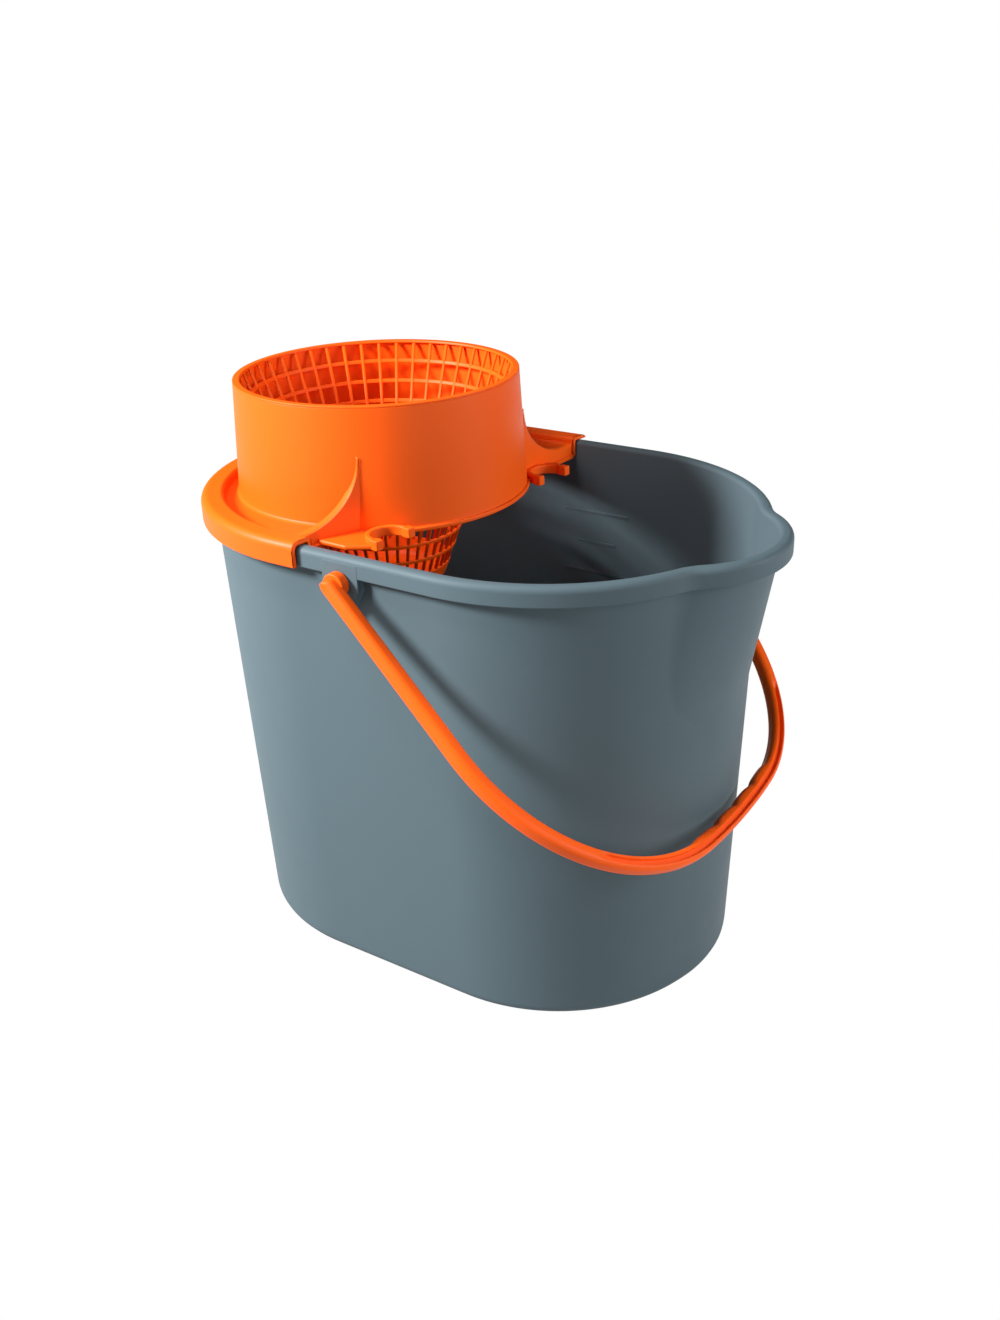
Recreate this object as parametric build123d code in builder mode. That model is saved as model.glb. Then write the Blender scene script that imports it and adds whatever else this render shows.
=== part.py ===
"""Oval mop bucket with a drop-in wringer and a swinging bail handle.

Millimetres, +Z up. The origin is the centre of the bucket's underside. +X runs
along the bucket towards the pouring spout, and the wringer sits at the -X end.
"""
import os
from math import asin, atan2, cos, degrees, hypot, pi, radians, sin, sqrt, tan

from build123d import *

# Bucket: two round ends joined by straight sides, drafted so that it widens upwards
bucket_height = 270.0
end_arc_spacing = 96.0
base_end_radius = 106.0
wall_draft = 2.0
wall = 2.5
floor_thickness = 3.0
inner_floor_round = 8.0
base_edge_round = 6.0

# Underside: a foot ring and stiffening ribs around shallow recesses
foot_ring_width = 12.0
foot_height = 4.0
foot_rib_width = 5.0
cross_ribs = 3

# Rim: a rounded flange with a skirt hanging outside the wall
rim_overhang = 4.8
rim_drop = 11.0
rim_skirt = 2.0
rim_flange = 2.6
rim_outer_round = 3.4
rim_inner_round = 2.6

# Spout: a bulge of the +X end that fades out down the wall
spout_reach = 16.0
spout_tip_radius = 55.0
spout_blend_radius = 35.0
flute_foot = 175.0
flute_fade = 0.4
flute_foot_radius = 99.0

# Pivot ears: shallow tapered boxes under the rim, open at the bottom
pivot_x = -7.0
pivot_height = 255.7
ear_width = 23.0
ear_height = 31.0
ear_shoulder_drop = 18.0
ear_foot_width = 9.0
ear_plate = 2.2
ear_corner_round = 4.0

# Level marks: raised lines on the inside of the far wall
mark_centre_x = 14.0
mark_height = 1.8
mark_proud = 0.6
mark_levels = (184.0, 204.5, 225.0)
mark_lengths = (46.0, 28.0, 46.0)

# Wringer collar: a flared ring standing over the rim of the -X end
wringer_x = -69.7
wringer_turn = -8.0
wringer_top = 332.7
collar_top_radius = 82.5
collar_bottom_radius = 86.0
collar_bottom = 263.0
collar_wall = 2.0
collar_bead = 1.4
collar_bead_height = 2.6

# Rim cover: an inverted channel that hangs the collar on the bucket's rim
cover_end = 51.5
cover_thickness = 2.4
cover_clearance = 0.6
cover_seat_gap = 0.3
cover_drop = 14.0
cover_inner_drop = 12.0
cover_outer_round = 4.4
cover_inner_round = 2.2
cover_hub_clearance = 12.0

# Web and end plates that close the trough between the collar and its cover
web_level = 267.0
web_thickness = 2.2
plate_turn = -4.3
plate_root_angle = 48.3
plate_outer_x = 46.3
plate_outer_y = 101.5
plate_thickness = 6.0
plate_peak = 306.0
plate_sink = 4.0
plate_foot = 259.0

# Shelves in the corners between the end plates and the pole clips
shelf_share = 0.66
shelf_corner_x = 62.0
shelf_corner_y = 90.0

# Pole clips: two half rings at the foot of the collar, each with two square ends
clip_angle = 42.7
clip_offset = 13.0
clip_bore = 21.0
clip_wall = 3.0
clip_height = 5.6
clip_mouth = 19.0
clip_nub_overlap = 1.0
clip_nub_length = 5.6
clip_nub_width = 5.0

# Basket: a lattice cone that hangs in the collar by its flange
basket_flange = 1.2
basket_flange_round = 0.5
basket_top_radius = 80.0
basket_bottom_radius = 33.0
basket_bottom = 204.0
basket_wall = 1.8
basket_bottom_round = 9.0
basket_ribs = 44
basket_rib_width = 1.8
basket_rows = 10
basket_ring_height = 2.4
basket_solid_band = 12.0
basket_top_band = 0.4
window_depth = 13.0

# Bail: a U-shaped bar on two pivot pins, resting against the spout end
bail_rest_angle = 40.4
bail_rest_gap = 1.5
bail_root_half_width = 127.5
bail_half_width = 139.2
bail_bar_width = 8.6
bail_bar_depth = 9.0
bail_bar_round = 3.2
bail_knuckle_swell = 0.4
bail_corner_radius = 109.0
bail_end_radius = 490.0
bail_hub_radius = 6.6
bail_pin_radius = 4.5
bail_pin_clearance = 0.08
bail_side_gap = 0.4
bail_groove_width = 3.2
bail_groove_depth = 2.4
bail_groove_start = 72.0
bail_pin_stub = 1.6
grip_bump_height = 1.3
grip_bump_length = 25.0
grip_bump_gap = 2.0
grip_bumps = 4

# Cuts run this far past the faces they open
cut_over = 2.0

# Sizes worked out from the values above
end_arc_x = end_arc_spacing / 2
cavity_floor = foot_height + floor_thickness
rim_level_radius = base_end_radius + bucket_height * tan(radians(wall_draft))
rim_face = rim_level_radius + rim_overhang
rim_bottom = bucket_height - rim_drop
flange_level = bucket_height - rim_flange
mouth_level = bucket_height - 2 * rim_inner_round
cover_inside = bucket_height + cover_seat_gap
cover_top = cover_inside + cover_thickness
cover_inner = -wall - cover_clearance
cover_outer = rim_overhang + cover_clearance + cover_thickness
collar_top = wringer_top - basket_flange
bead_top = collar_bottom + collar_bead_height
bore_low = collar_bottom - cut_over
bore_high = collar_top + cut_over
basket_floor = basket_bottom + basket_wall
ear_bottom = bucket_height - ear_height
ear_top = bucket_height - rim_outer_round
ear_shoulder = bucket_height - ear_shoulder_drop
lattice_foot = basket_bottom + basket_solid_band
lattice_top = collar_top - basket_top_band + basket_ring_height / 2
window_pitch = (lattice_top - lattice_foot) / basket_rows
plan_span = 2 * (end_arc_spacing + rim_face)
wringer_axis = Axis((wringer_x, 0, 0), (0, 0, 1))
plate_root_radius = collar_bottom_radius - collar_wall / 2
plate_root_x = plate_root_radius * cos(radians(plate_root_angle))
plate_root_y = plate_root_radius * sin(radians(plate_root_angle))
clip_centre_radius = collar_bottom_radius + clip_offset
clip_x = clip_centre_radius * cos(radians(clip_angle))
clip_y = clip_centre_radius * sin(radians(clip_angle))
clip_nub_y = (clip_mouth + clip_nub_width) / 2
clip_outer_y = clip_y + clip_nub_y + clip_nub_width / 2
clip_root_x = plate_root_radius * cos(radians(clip_angle))
clip_root_y = plate_root_radius * sin(radians(clip_angle))
shelf_plate_x = plate_root_x + (plate_outer_x - plate_root_x) * shelf_share
shelf_plate_y = plate_root_y + (plate_outer_y - plate_root_y) * shelf_share

# The bail's plane turns about the pivots; its grip just clears the end wall at rest
bail_slope = radians(bail_rest_angle)
bail_plane = Plane(
    origin=(pivot_x, 0, pivot_height),
    x_dir=(cos(bail_slope), 0, -sin(bail_slope)),
    z_dir=(sin(bail_slope), 0, cos(bail_slope)),
)
draft_slope = tan(radians(wall_draft))
wall_at_pivot = end_arc_x + base_end_radius + flute_fade + pivot_height * draft_slope - pivot_x
grip_inside = (wall_at_pivot + bail_rest_gap + bail_bar_depth / 2 * sin(bail_slope)) / (
    cos(bail_slope) + draft_slope * sin(bail_slope)
)
bail_reach = grip_inside + grip_bump_height + bail_bar_width / 2
swell_depth = bail_bar_depth - bail_bar_round
bail_end_x = bail_reach - bail_end_radius
bail_corner_y = bail_half_width - bail_corner_radius
bail_corner_x = bail_end_x + sqrt((bail_end_radius - bail_corner_radius) ** 2 - bail_corner_y**2)
bail_corner_angle = degrees(atan2(bail_corner_y, bail_corner_x - bail_end_x))
root_rise = bail_root_half_width - bail_corner_y
bail_splay = asin(bail_corner_radius / hypot(bail_corner_x, root_rise)) - atan2(root_rise, bail_corner_x)
arm_angle = 90 + degrees(bail_splay)


def on_circle(centre_x, centre_y, radius, angle):
    """Point of a circle at an angle in degrees."""
    return (centre_x + radius * cos(radians(angle)), centre_y + radius * sin(radians(angle)))


def wall_radius(level):
    """Outer radius of the round ends at a height."""
    return base_end_radius + level * tan(radians(wall_draft))


def flipped(point):
    """Mirror image of a plan point across the bucket's long axis."""
    return (point[0], -point[1])


def bucket_outline(level, grow=0.0):
    """Plan face of the bucket at a height: sides, round ends and the spout's bulge.

    The bulge is a tip arc that two hollow arcs blend into the round end. All the
    arcs keep their centres when the outline is grown outwards by an offset.
    """
    end_radius = wall_radius(level)
    share = max(0.0, (level - flute_foot) / (bucket_height - flute_foot))
    reach = flute_fade + (spout_reach - flute_fade) * share
    tip_radius = flute_foot_radius + (spout_tip_radius - flute_foot_radius) * share
    tip_x = end_arc_x + end_radius + reach - tip_radius
    to_end = end_radius + spout_blend_radius
    to_tip = tip_radius + spout_blend_radius
    span = tip_x - end_arc_x
    along = (to_end**2 - to_tip**2 + span**2) / (2 * span)
    blend_x = end_arc_x + along
    blend_y = sqrt(to_end**2 - along**2)
    end_angle = degrees(atan2(blend_y, along))
    tip_angle = degrees(atan2(blend_y, blend_x - tip_x))
    hollow_radius = spout_blend_radius - grow
    hollow_angle = 180 + (end_angle + tip_angle) / 2
    end_radius += grow
    tip_radius += grow
    leave = on_circle(end_arc_x, 0, end_radius, end_angle)
    meet = on_circle(tip_x, 0, tip_radius, tip_angle)
    hollow = on_circle(blend_x, blend_y, hollow_radius, hollow_angle)
    shoulder = on_circle(end_arc_x, 0, end_radius, (90 + end_angle) / 2)
    with BuildSketch() as plan:
        with BuildLine():
            Line((-end_arc_x, -end_radius), (end_arc_x, -end_radius))
            ThreePointArc((end_arc_x, -end_radius), flipped(shoulder), flipped(leave))
            ThreePointArc(flipped(leave), flipped(hollow), flipped(meet))
            ThreePointArc(flipped(meet), (tip_x + tip_radius, 0), meet)
            ThreePointArc(meet, hollow, leave)
            ThreePointArc(leave, shoulder, (end_arc_x, end_radius))
            Line((end_arc_x, end_radius), (-end_arc_x, end_radius))
            ThreePointArc((-end_arc_x, end_radius), (-end_arc_x - end_radius, 0), (-end_arc_x, -end_radius))
        make_face()
    return plan.sketch


def in_wringer(x, y, turn=wringer_turn):
    """Plan point given along and across the turned wringer's own axis."""
    cosine, sine = cos(radians(turn)), sin(radians(turn))
    return (wringer_x + x * cosine - y * sine, x * sine + y * cosine)


def in_plates(x, y):
    """Plan point given along and across the end plates' own axis, turned a little further."""
    return in_wringer(x, y, wringer_turn + plate_turn)


def collar_radius(level):
    """Outer radius of the flared collar at a height."""
    share = (level - collar_bottom) / (collar_top - collar_bottom)
    return collar_bottom_radius + (collar_top_radius - collar_bottom_radius) * share


def basket_radius(level):
    """Outer radius of the lattice cone at a height."""
    share = (level - basket_bottom) / (collar_top - basket_bottom)
    return basket_bottom_radius + (basket_top_radius - basket_bottom_radius) * share


def bail_outline(grow):
    """Face inside the bail's centre line, grown outwards by an offset, in the bail's plane."""
    half_width = bail_root_half_width + grow / cos(bail_splay)
    corner = bail_corner_radius + grow
    end = bail_end_radius + grow
    arm = on_circle(bail_corner_x, bail_corner_y, corner, arm_angle)
    bend = on_circle(bail_corner_x, bail_corner_y, corner, (arm_angle + bail_corner_angle) / 2)
    join = on_circle(bail_end_x, 0, end, bail_corner_angle)
    with BuildSketch() as plan:
        with BuildLine():
            Line((0, half_width), (0, -half_width))
            Line((0, -half_width), flipped(arm))
            ThreePointArc(flipped(arm), flipped(bend), flipped(join))
            ThreePointArc(flipped(join), (bail_end_x + end, 0), join)
            ThreePointArc(join, bend, arm)
            Line(arm, (0, half_width))
        make_face()
    return plan.sketch


def ear_outline(plate, foot):
    """Face of a pivot ear seen from the side, inside a plate thickness and down to a foot height."""
    half = ear_width / 2 - plate
    taper = (ear_width - ear_foot_width) / 2 / (ear_shoulder - ear_bottom)
    half_foot = half - taper * (ear_shoulder - foot)
    with BuildSketch() as face:
        with BuildLine():
            Polyline(
                (pivot_x - half, ear_top),
                (pivot_x - half, ear_shoulder),
                (pivot_x - half_foot, foot),
                (pivot_x + half_foot, foot),
                (pivot_x + half, ear_shoulder),
                (pivot_x + half, ear_top),
                close=True,
            )
        make_face()
        fillet(face.vertices().filter_by(lambda corner: corner.Y == ear_shoulder), ear_corner_round)
    return face.sketch


def rim_offset(edge):
    """How far an edge's middle lies outside the bucket's wall at the rim."""
    middle = edge @ 0.5
    along = min(middle.X + end_arc_x, 0)
    return hypot(along, middle.Y) - rim_level_radius


cover_end_place = Location(in_wringer(cover_end, 0) + (0,), (0, 0, wringer_turn))

# Inside of the bucket: drafted up to an upright land at the mouth
with BuildPart() as cavity:
    for level in (cavity_floor, flute_foot, mouth_level):
        with BuildSketch(Plane.XY.offset(level)):
            add(bucket_outline(level, -wall))
    loft(ruled=True)
    fillet(cavity.faces().sort_by(Axis.Z)[0].edges(), inner_floor_round)
    with BuildSketch(Plane.XY.offset(mouth_level)):
        add(bucket_outline(mouth_level, -wall))
    extrude(amount=bucket_height - mouth_level + cut_over)

# Bucket body
with BuildPart() as bucket_body:
    for level in (0, flute_foot, flange_level):
        with BuildSketch(Plane.XY.offset(level)):
            add(bucket_outline(level))
    loft(ruled=True)
    fillet(bucket_body.faces().sort_by(Axis.Z)[0].edges(), base_edge_round)
    with BuildSketch(Plane.XY.offset(flange_level)):
        add(bucket_outline(bucket_height, rim_overhang))
    extrude(amount=rim_flange)
    with BuildSketch(Plane.XY.offset(rim_bottom)):
        add(bucket_outline(bucket_height, rim_overhang))
        add(bucket_outline(bucket_height, rim_overhang - rim_skirt), mode=Mode.SUBTRACT)
    extrude(amount=rim_drop)
    for side in (-1, 1):
        with BuildSketch(Plane.XZ.offset(-side * rim_face)):
            add(ear_outline(0, ear_bottom))
        extrude(amount=side * (rim_overhang + wall))
    add(cavity.part, mode=Mode.SUBTRACT)
    for side in (-1, 1):
        with BuildSketch(Plane.XZ.offset(-side * (rim_face - ear_plate))):
            add(ear_outline(ear_plate, ear_bottom - cut_over))
        extrude(amount=side * (rim_overhang - ear_plate), mode=Mode.SUBTRACT)
        with BuildSketch(Plane.XZ.offset(-side * rim_face)):
            with Locations((pivot_x, pivot_height)):
                Circle(bail_pin_radius + bail_pin_clearance)
        extrude(amount=side * ear_plate, mode=Mode.SUBTRACT)
    with BuildSketch():
        add(bucket_outline(0, -foot_ring_width))
        Rectangle(2 * rim_face + end_arc_spacing, foot_rib_width, mode=Mode.SUBTRACT)
        with GridLocations(end_arc_spacing, 0, cross_ribs, 1):
            Rectangle(foot_rib_width, 2 * rim_face, mode=Mode.SUBTRACT)
    extrude(amount=foot_height, mode=Mode.SUBTRACT)
    for level, length in zip(mark_levels, mark_lengths):
        with Locations((mark_centre_x, wall_radius(level) - wall, level)):
            Box(length, 2 * mark_proud, mark_height)
    fillet(bucket_body.faces().sort_by(Axis.Z)[-1].outer_wire().edges(), rim_outer_round)
    fillet(bucket_body.faces().sort_by(Axis.Z)[-1].inner_wires().edges(), rim_inner_round)

# Rim cover: outer skirt, inner skirt and top, with rounded top edges
with BuildPart() as rim_cover:
    for inner, outer, low in (
        (cover_outer - cover_thickness, cover_outer, cover_top - cover_drop),
        (cover_inner - cover_thickness, cover_inner, cover_top - cover_inner_drop),
        (cover_inner - cover_thickness, cover_outer, cover_inside),
    ):
        with BuildSketch(Plane.XY.offset(low)):
            add(bucket_outline(bucket_height, outer))
            add(bucket_outline(bucket_height, inner), mode=Mode.SUBTRACT)
            with Locations(cover_end_place):
                Rectangle(plan_span, plan_span, align=(Align.MAX, Align.CENTER), mode=Mode.INTERSECT)
        extrude(amount=cover_top - low)
    top_edges = rim_cover.faces().sort_by(Axis.Z)[-1].edges()
    fillet(top_edges.filter_by(lambda edge: rim_offset(edge) > rim_overhang), cover_outer_round)
    top_edges = rim_cover.faces().sort_by(Axis.Z)[-1].edges()
    fillet(top_edges.filter_by(lambda edge: rim_offset(edge) < cover_inner), cover_inner_round)

# Wringer collar
with BuildPart() as wringer_collar:
    with BuildSketch(Plane.XZ):
        with BuildLine():
            Polyline(
                (wringer_x, collar_bottom),
                (wringer_x + collar_bottom_radius + collar_bead, collar_bottom),
                (wringer_x + collar_bottom_radius + collar_bead, bead_top),
                (wringer_x + collar_radius(bead_top), bead_top),
                (wringer_x + collar_top_radius, collar_top),
                (wringer_x, collar_top),
                close=True,
            )
        make_face()
    revolve(axis=wringer_axis)
    add(rim_cover.part)
    with BuildSketch(Plane.XY.offset(web_level - web_thickness)):
        add(bucket_outline(bucket_height, cover_inner))
        with BuildLine():
            Polyline(
                in_plates(-plan_span, -plan_span),
                in_plates(plate_outer_x, -plan_span),
                in_plates(plate_outer_x, -plate_outer_y),
                in_plates(plate_root_x, -plate_root_y),
                in_plates(plate_root_x, plate_root_y),
                in_plates(plate_outer_x, plate_outer_y),
                in_plates(plate_outer_x, plan_span),
                in_plates(-plan_span, plan_span),
                close=True,
            )
        make_face(mode=Mode.INTERSECT)
    extrude(amount=web_thickness)
    for side in (-1, 1):
        root = in_plates(plate_root_x, side * plate_root_y)
        outer = in_plates(plate_outer_x, side * plate_outer_y)
        run = sqrt((outer[0] - root[0]) ** 2 + (outer[1] - root[1]) ** 2)
        along = ((outer[0] - root[0]) / run, (outer[1] - root[1]) / run)
        reach = (side * (rim_level_radius + cover_inner - cover_thickness / 2) - root[1]) / along[1]
        plate_plane = Plane(
            origin=(root[0], root[1], 0), x_dir=(along[0], along[1], 0), z_dir=(along[1], -along[0], 0)
        )
        low = cover_top - plate_sink
        with BuildSketch(plate_plane):
            with BuildLine():
                Line((0, plate_peak), (-collar_wall, plate_peak))
                Line((-collar_wall, plate_peak), (-collar_wall, collar_bottom))
                Line((-collar_wall, collar_bottom), (reach, plate_foot))
                Line((reach, plate_foot), (reach, low))
                ThreePointArc(
                    (reach, low),
                    (reach * (1 - cos(pi / 4)), plate_peak + (low - plate_peak) * sin(pi / 4)),
                    (0, plate_peak),
                )
            make_face()
        extrude(amount=-side * plate_thickness)
    for side in (-1, 1):
        with BuildSketch(Plane.XY.offset(collar_bottom)):
            with BuildLine():
                Polyline(
                    in_plates(plate_root_x, side * plate_root_y),
                    in_plates(shelf_plate_x, side * shelf_plate_y),
                    in_wringer(shelf_corner_x, side * shelf_corner_y),
                    in_wringer(clip_x, side * clip_outer_y),
                    in_wringer(clip_x, side * clip_y),
                    in_wringer(clip_root_x, side * clip_root_y),
                    close=True,
                )
            make_face()
        extrude(amount=collar_bead_height)
        place = Location(in_wringer(clip_x, side * clip_y) + (0,), (0, 0, wringer_turn))
        with BuildSketch(Plane.XY.offset(collar_bottom)):
            with Locations(place):
                Circle(clip_bore / 2 + clip_wall)
                Rectangle(clip_bore, 2 * clip_bore, align=(Align.MIN, Align.CENTER), mode=Mode.SUBTRACT)
        extrude(amount=clip_height)
        with BuildSketch(Plane.XY.offset(collar_bottom - cut_over)):
            with Locations(place):
                Circle(clip_bore / 2)
        extrude(amount=clip_height + 2 * cut_over, mode=Mode.SUBTRACT)
        with BuildSketch(Plane.XY.offset(collar_bottom)):
            with Locations(place):
                with Locations((-clip_nub_overlap, clip_nub_y), (-clip_nub_overlap, -clip_nub_y)):
                    Rectangle(clip_nub_length, clip_nub_width, align=(Align.MIN, Align.CENTER))
        extrude(amount=clip_height)
    with BuildSketch(Plane.XZ):
        with BuildLine():
            Polyline(
                (wringer_x, bore_low),
                (wringer_x + collar_radius(bore_low) - collar_wall, bore_low),
                (wringer_x + collar_radius(bore_high) - collar_wall, bore_high),
                (wringer_x, bore_high),
                close=True,
            )
        make_face()
    revolve(axis=wringer_axis, mode=Mode.SUBTRACT)
    for side in (-1, 1):
        with Locations((pivot_x, side * (rim_face + cover_outer / 2), cover_inside)):
            Box(
                ear_width + 2 * cover_hub_clearance,
                cover_outer,
                2 * cover_drop,
                align=(Align.CENTER, Align.CENTER, Align.MAX),
                mode=Mode.SUBTRACT,
            )

# Wringer basket
with BuildPart() as wringer_basket:
    with BuildSketch(Plane.XZ) as section:
        with BuildLine():
            Polyline(
                (wringer_x, basket_bottom),
                (wringer_x + basket_bottom_radius, basket_bottom),
                (wringer_x + basket_top_radius, collar_top),
                (wringer_x + collar_top_radius, collar_top),
                (wringer_x + collar_top_radius, wringer_top),
                (wringer_x + basket_radius(wringer_top) - basket_wall, wringer_top),
                (wringer_x + basket_radius(basket_floor) - basket_wall, basket_floor),
                (wringer_x, basket_floor),
                close=True,
            )
        make_face()
        levels = section.vertices().group_by(Axis.Y)
        fillet(levels[0].sort_by(Axis.X)[-1], basket_bottom_round)
        fillet(levels[1].sort_by(Axis.X)[-1], basket_bottom_round - basket_wall)
        fillet(levels[-1], basket_flange_round)
    revolve(axis=wringer_axis)
    for row in range(basket_rows):
        level = lattice_foot + (row + 0.5) * window_pitch
        radius = basket_radius(level)
        with Locations((wringer_x, 0, level)):
            with PolarLocations(radius, basket_ribs):
                Box(
                    window_depth,
                    2 * pi * radius / basket_ribs - basket_rib_width,
                    window_pitch - basket_ring_height,
                    mode=Mode.SUBTRACT,
                )

# Rounded end of a bail arm, centred on its pivot
with BuildPart() as bail_knuckle:
    Cylinder(
        bail_bar_depth / 2 + bail_knuckle_swell,
        bail_bar_width + 2 * bail_knuckle_swell,
        rotation=(90, 0, 0),
    )
    fillet(bail_knuckle.edges().filter_by(GeomType.CIRCLE), bail_bar_round)

# Bail handle
with BuildPart() as bail_handle:
    with BuildSketch(bail_plane.offset(-bail_bar_depth / 2)):
        add(bail_outline(bail_bar_width / 2))
        add(bail_outline(-bail_bar_width / 2), mode=Mode.SUBTRACT)
    extrude(amount=bail_bar_depth)
    faces_across = bail_handle.faces().filter_by(bail_plane)
    fillet(faces_across.edges() - bail_handle.edges().filter_by(Axis.Y), bail_bar_round)
    for side in (-1, 1):
        groove_plane = bail_plane.offset(side * bail_bar_depth / 2)
        with BuildSketch(groove_plane):
            add(bail_outline(bail_groove_width / 2))
            add(bail_outline(-bail_groove_width / 2), mode=Mode.SUBTRACT)
            with Locations((bail_corner_x + bail_groove_start, 0)):
                Rectangle(plan_span, plan_span, align=(Align.MIN, Align.CENTER), mode=Mode.INTERSECT)
        extrude(amount=-side * bail_groove_depth, mode=Mode.SUBTRACT)
    with BuildSketch(bail_plane.offset(-swell_depth / 2)):
        for bump in range(grip_bumps):
            turn = degrees((bump - (grip_bumps - 1) / 2) * grip_bump_length / bail_end_radius)
            middle = on_circle(bail_end_x, 0, bail_end_radius - bail_bar_width / 2, turn)
            with Locations(Location(middle + (0,), (0, 0, turn))):
                SlotOverall(grip_bump_length - grip_bump_gap, 2 * grip_bump_height, rotation=90)
    extrude(amount=swell_depth)
    for side in (-1, 1):
        with Locations((pivot_x, side * bail_root_half_width, pivot_height)):
            add(bail_knuckle.part)
        arm_face = bail_root_half_width - bail_bar_width / 2 + bail_bar_round
        with BuildSketch(Plane.XZ.offset(-side * arm_face)):
            with Locations((pivot_x, pivot_height)):
                Circle(bail_hub_radius)
        extrude(amount=side * (arm_face - rim_face - bail_side_gap))
        with BuildSketch(Plane.XZ.offset(-side * (rim_face + bail_side_gap))):
            with Locations((pivot_x, pivot_height)):
                Circle(bail_pin_radius)
        extrude(amount=side * (bail_side_gap + ear_plate + bail_pin_stub))

pieces = {
    "bucket_body": bucket_body,
    "wringer_collar": wringer_collar,
    "wringer_basket": wringer_basket,
    "bail_handle": bail_handle,
}
os.makedirs("parts", exist_ok=True)
for name, piece in pieces.items():
    piece.part.label = name
    export_step(piece.part, f"parts/{name}.step")
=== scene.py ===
"""Dresses an oval mop bucket with its wringer and bail handle.

Every moulding is a set of closed surfaces worked out with numpy, in metres and in the
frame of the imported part. Two procedural plastics, a white stage, soft lights and the
camera complete the scene.
"""

import bpy
import numpy as np
from mathutils import Matrix


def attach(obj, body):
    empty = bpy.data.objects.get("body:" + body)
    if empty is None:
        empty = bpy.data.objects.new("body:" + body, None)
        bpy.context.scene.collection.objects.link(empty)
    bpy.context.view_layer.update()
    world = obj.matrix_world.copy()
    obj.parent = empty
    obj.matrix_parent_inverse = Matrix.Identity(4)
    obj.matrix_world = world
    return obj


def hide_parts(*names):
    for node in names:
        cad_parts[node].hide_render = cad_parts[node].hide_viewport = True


bl_info = {
    "name": "Oval mop bucket",
    "version": (1, 0, 0),
    "blender": (4, 5, 0),
    "location": "View3D > Sidebar > Mop bucket",
    "description": "Builds the mouldings, plastics, stage and camera of an oval mop bucket",
    "category": "Object",
}

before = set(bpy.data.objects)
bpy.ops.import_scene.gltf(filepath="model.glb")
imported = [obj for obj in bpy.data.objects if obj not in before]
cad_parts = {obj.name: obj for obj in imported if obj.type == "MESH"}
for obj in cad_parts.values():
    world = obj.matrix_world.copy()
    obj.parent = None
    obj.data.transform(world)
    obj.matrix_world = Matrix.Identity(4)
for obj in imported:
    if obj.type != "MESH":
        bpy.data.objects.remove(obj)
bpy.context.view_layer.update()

# Points on a corner's arc and the distance of the support points beside it
ARC_STEPS = 7
SUPPORT = 0.0002
# Radii of moulded edges, from the sharpest to the softest
SHARP = 0.0003
CREASE = 0.0005
FINE_EDGE = 0.0006
EDGE = 0.0008
SOFT_EDGE = 0.0009
# Longest run between two points of a section, and points round a smooth and round a latticed ring
LONGEST_RUN = 0.008
ROUND_COUNT = 240
LATTICE_COUNT = 132
# The near and the far side, as signs of the direction across the bucket
SIDES = (-1, 1)
# Colour of the surroundings and of the floor as the camera sees them
WHITE = (1.0, 1.0, 1.0, 1.0)


def length(name, description, default):
    """A length property, in metres."""
    return bpy.props.FloatProperty(
        name=name,
        description=description,
        default=default,
        subtype="DISTANCE",
        unit="LENGTH",
        precision=4,
    )


def lengths(name, description, default):
    """A property of three lengths, in metres."""
    return bpy.props.FloatVectorProperty(
        name=name, description=description, default=default, subtype="XYZ_LENGTH", unit="LENGTH"
    )


def turn(name, description, default):
    """An angle property, given in degrees and kept in radians."""
    return bpy.props.FloatProperty(
        name=name,
        description=description,
        default=np.radians(default),
        subtype="ANGLE",
        unit="ROTATION",
    )


def number(name, description, default):
    """A whole number of like parts."""
    return bpy.props.IntProperty(name=name, description=description, default=default, min=1)


def colour(name, description, default):
    """A linear colour property."""
    return bpy.props.FloatVectorProperty(
        name=name, description=description, default=default, subtype="COLOR", min=0.0, max=1.0
    )


def factor(name, description, default):
    """A share or a strength without a unit."""
    return bpy.props.FloatProperty(name=name, description=description, default=default, subtype="FACTOR")


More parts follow.
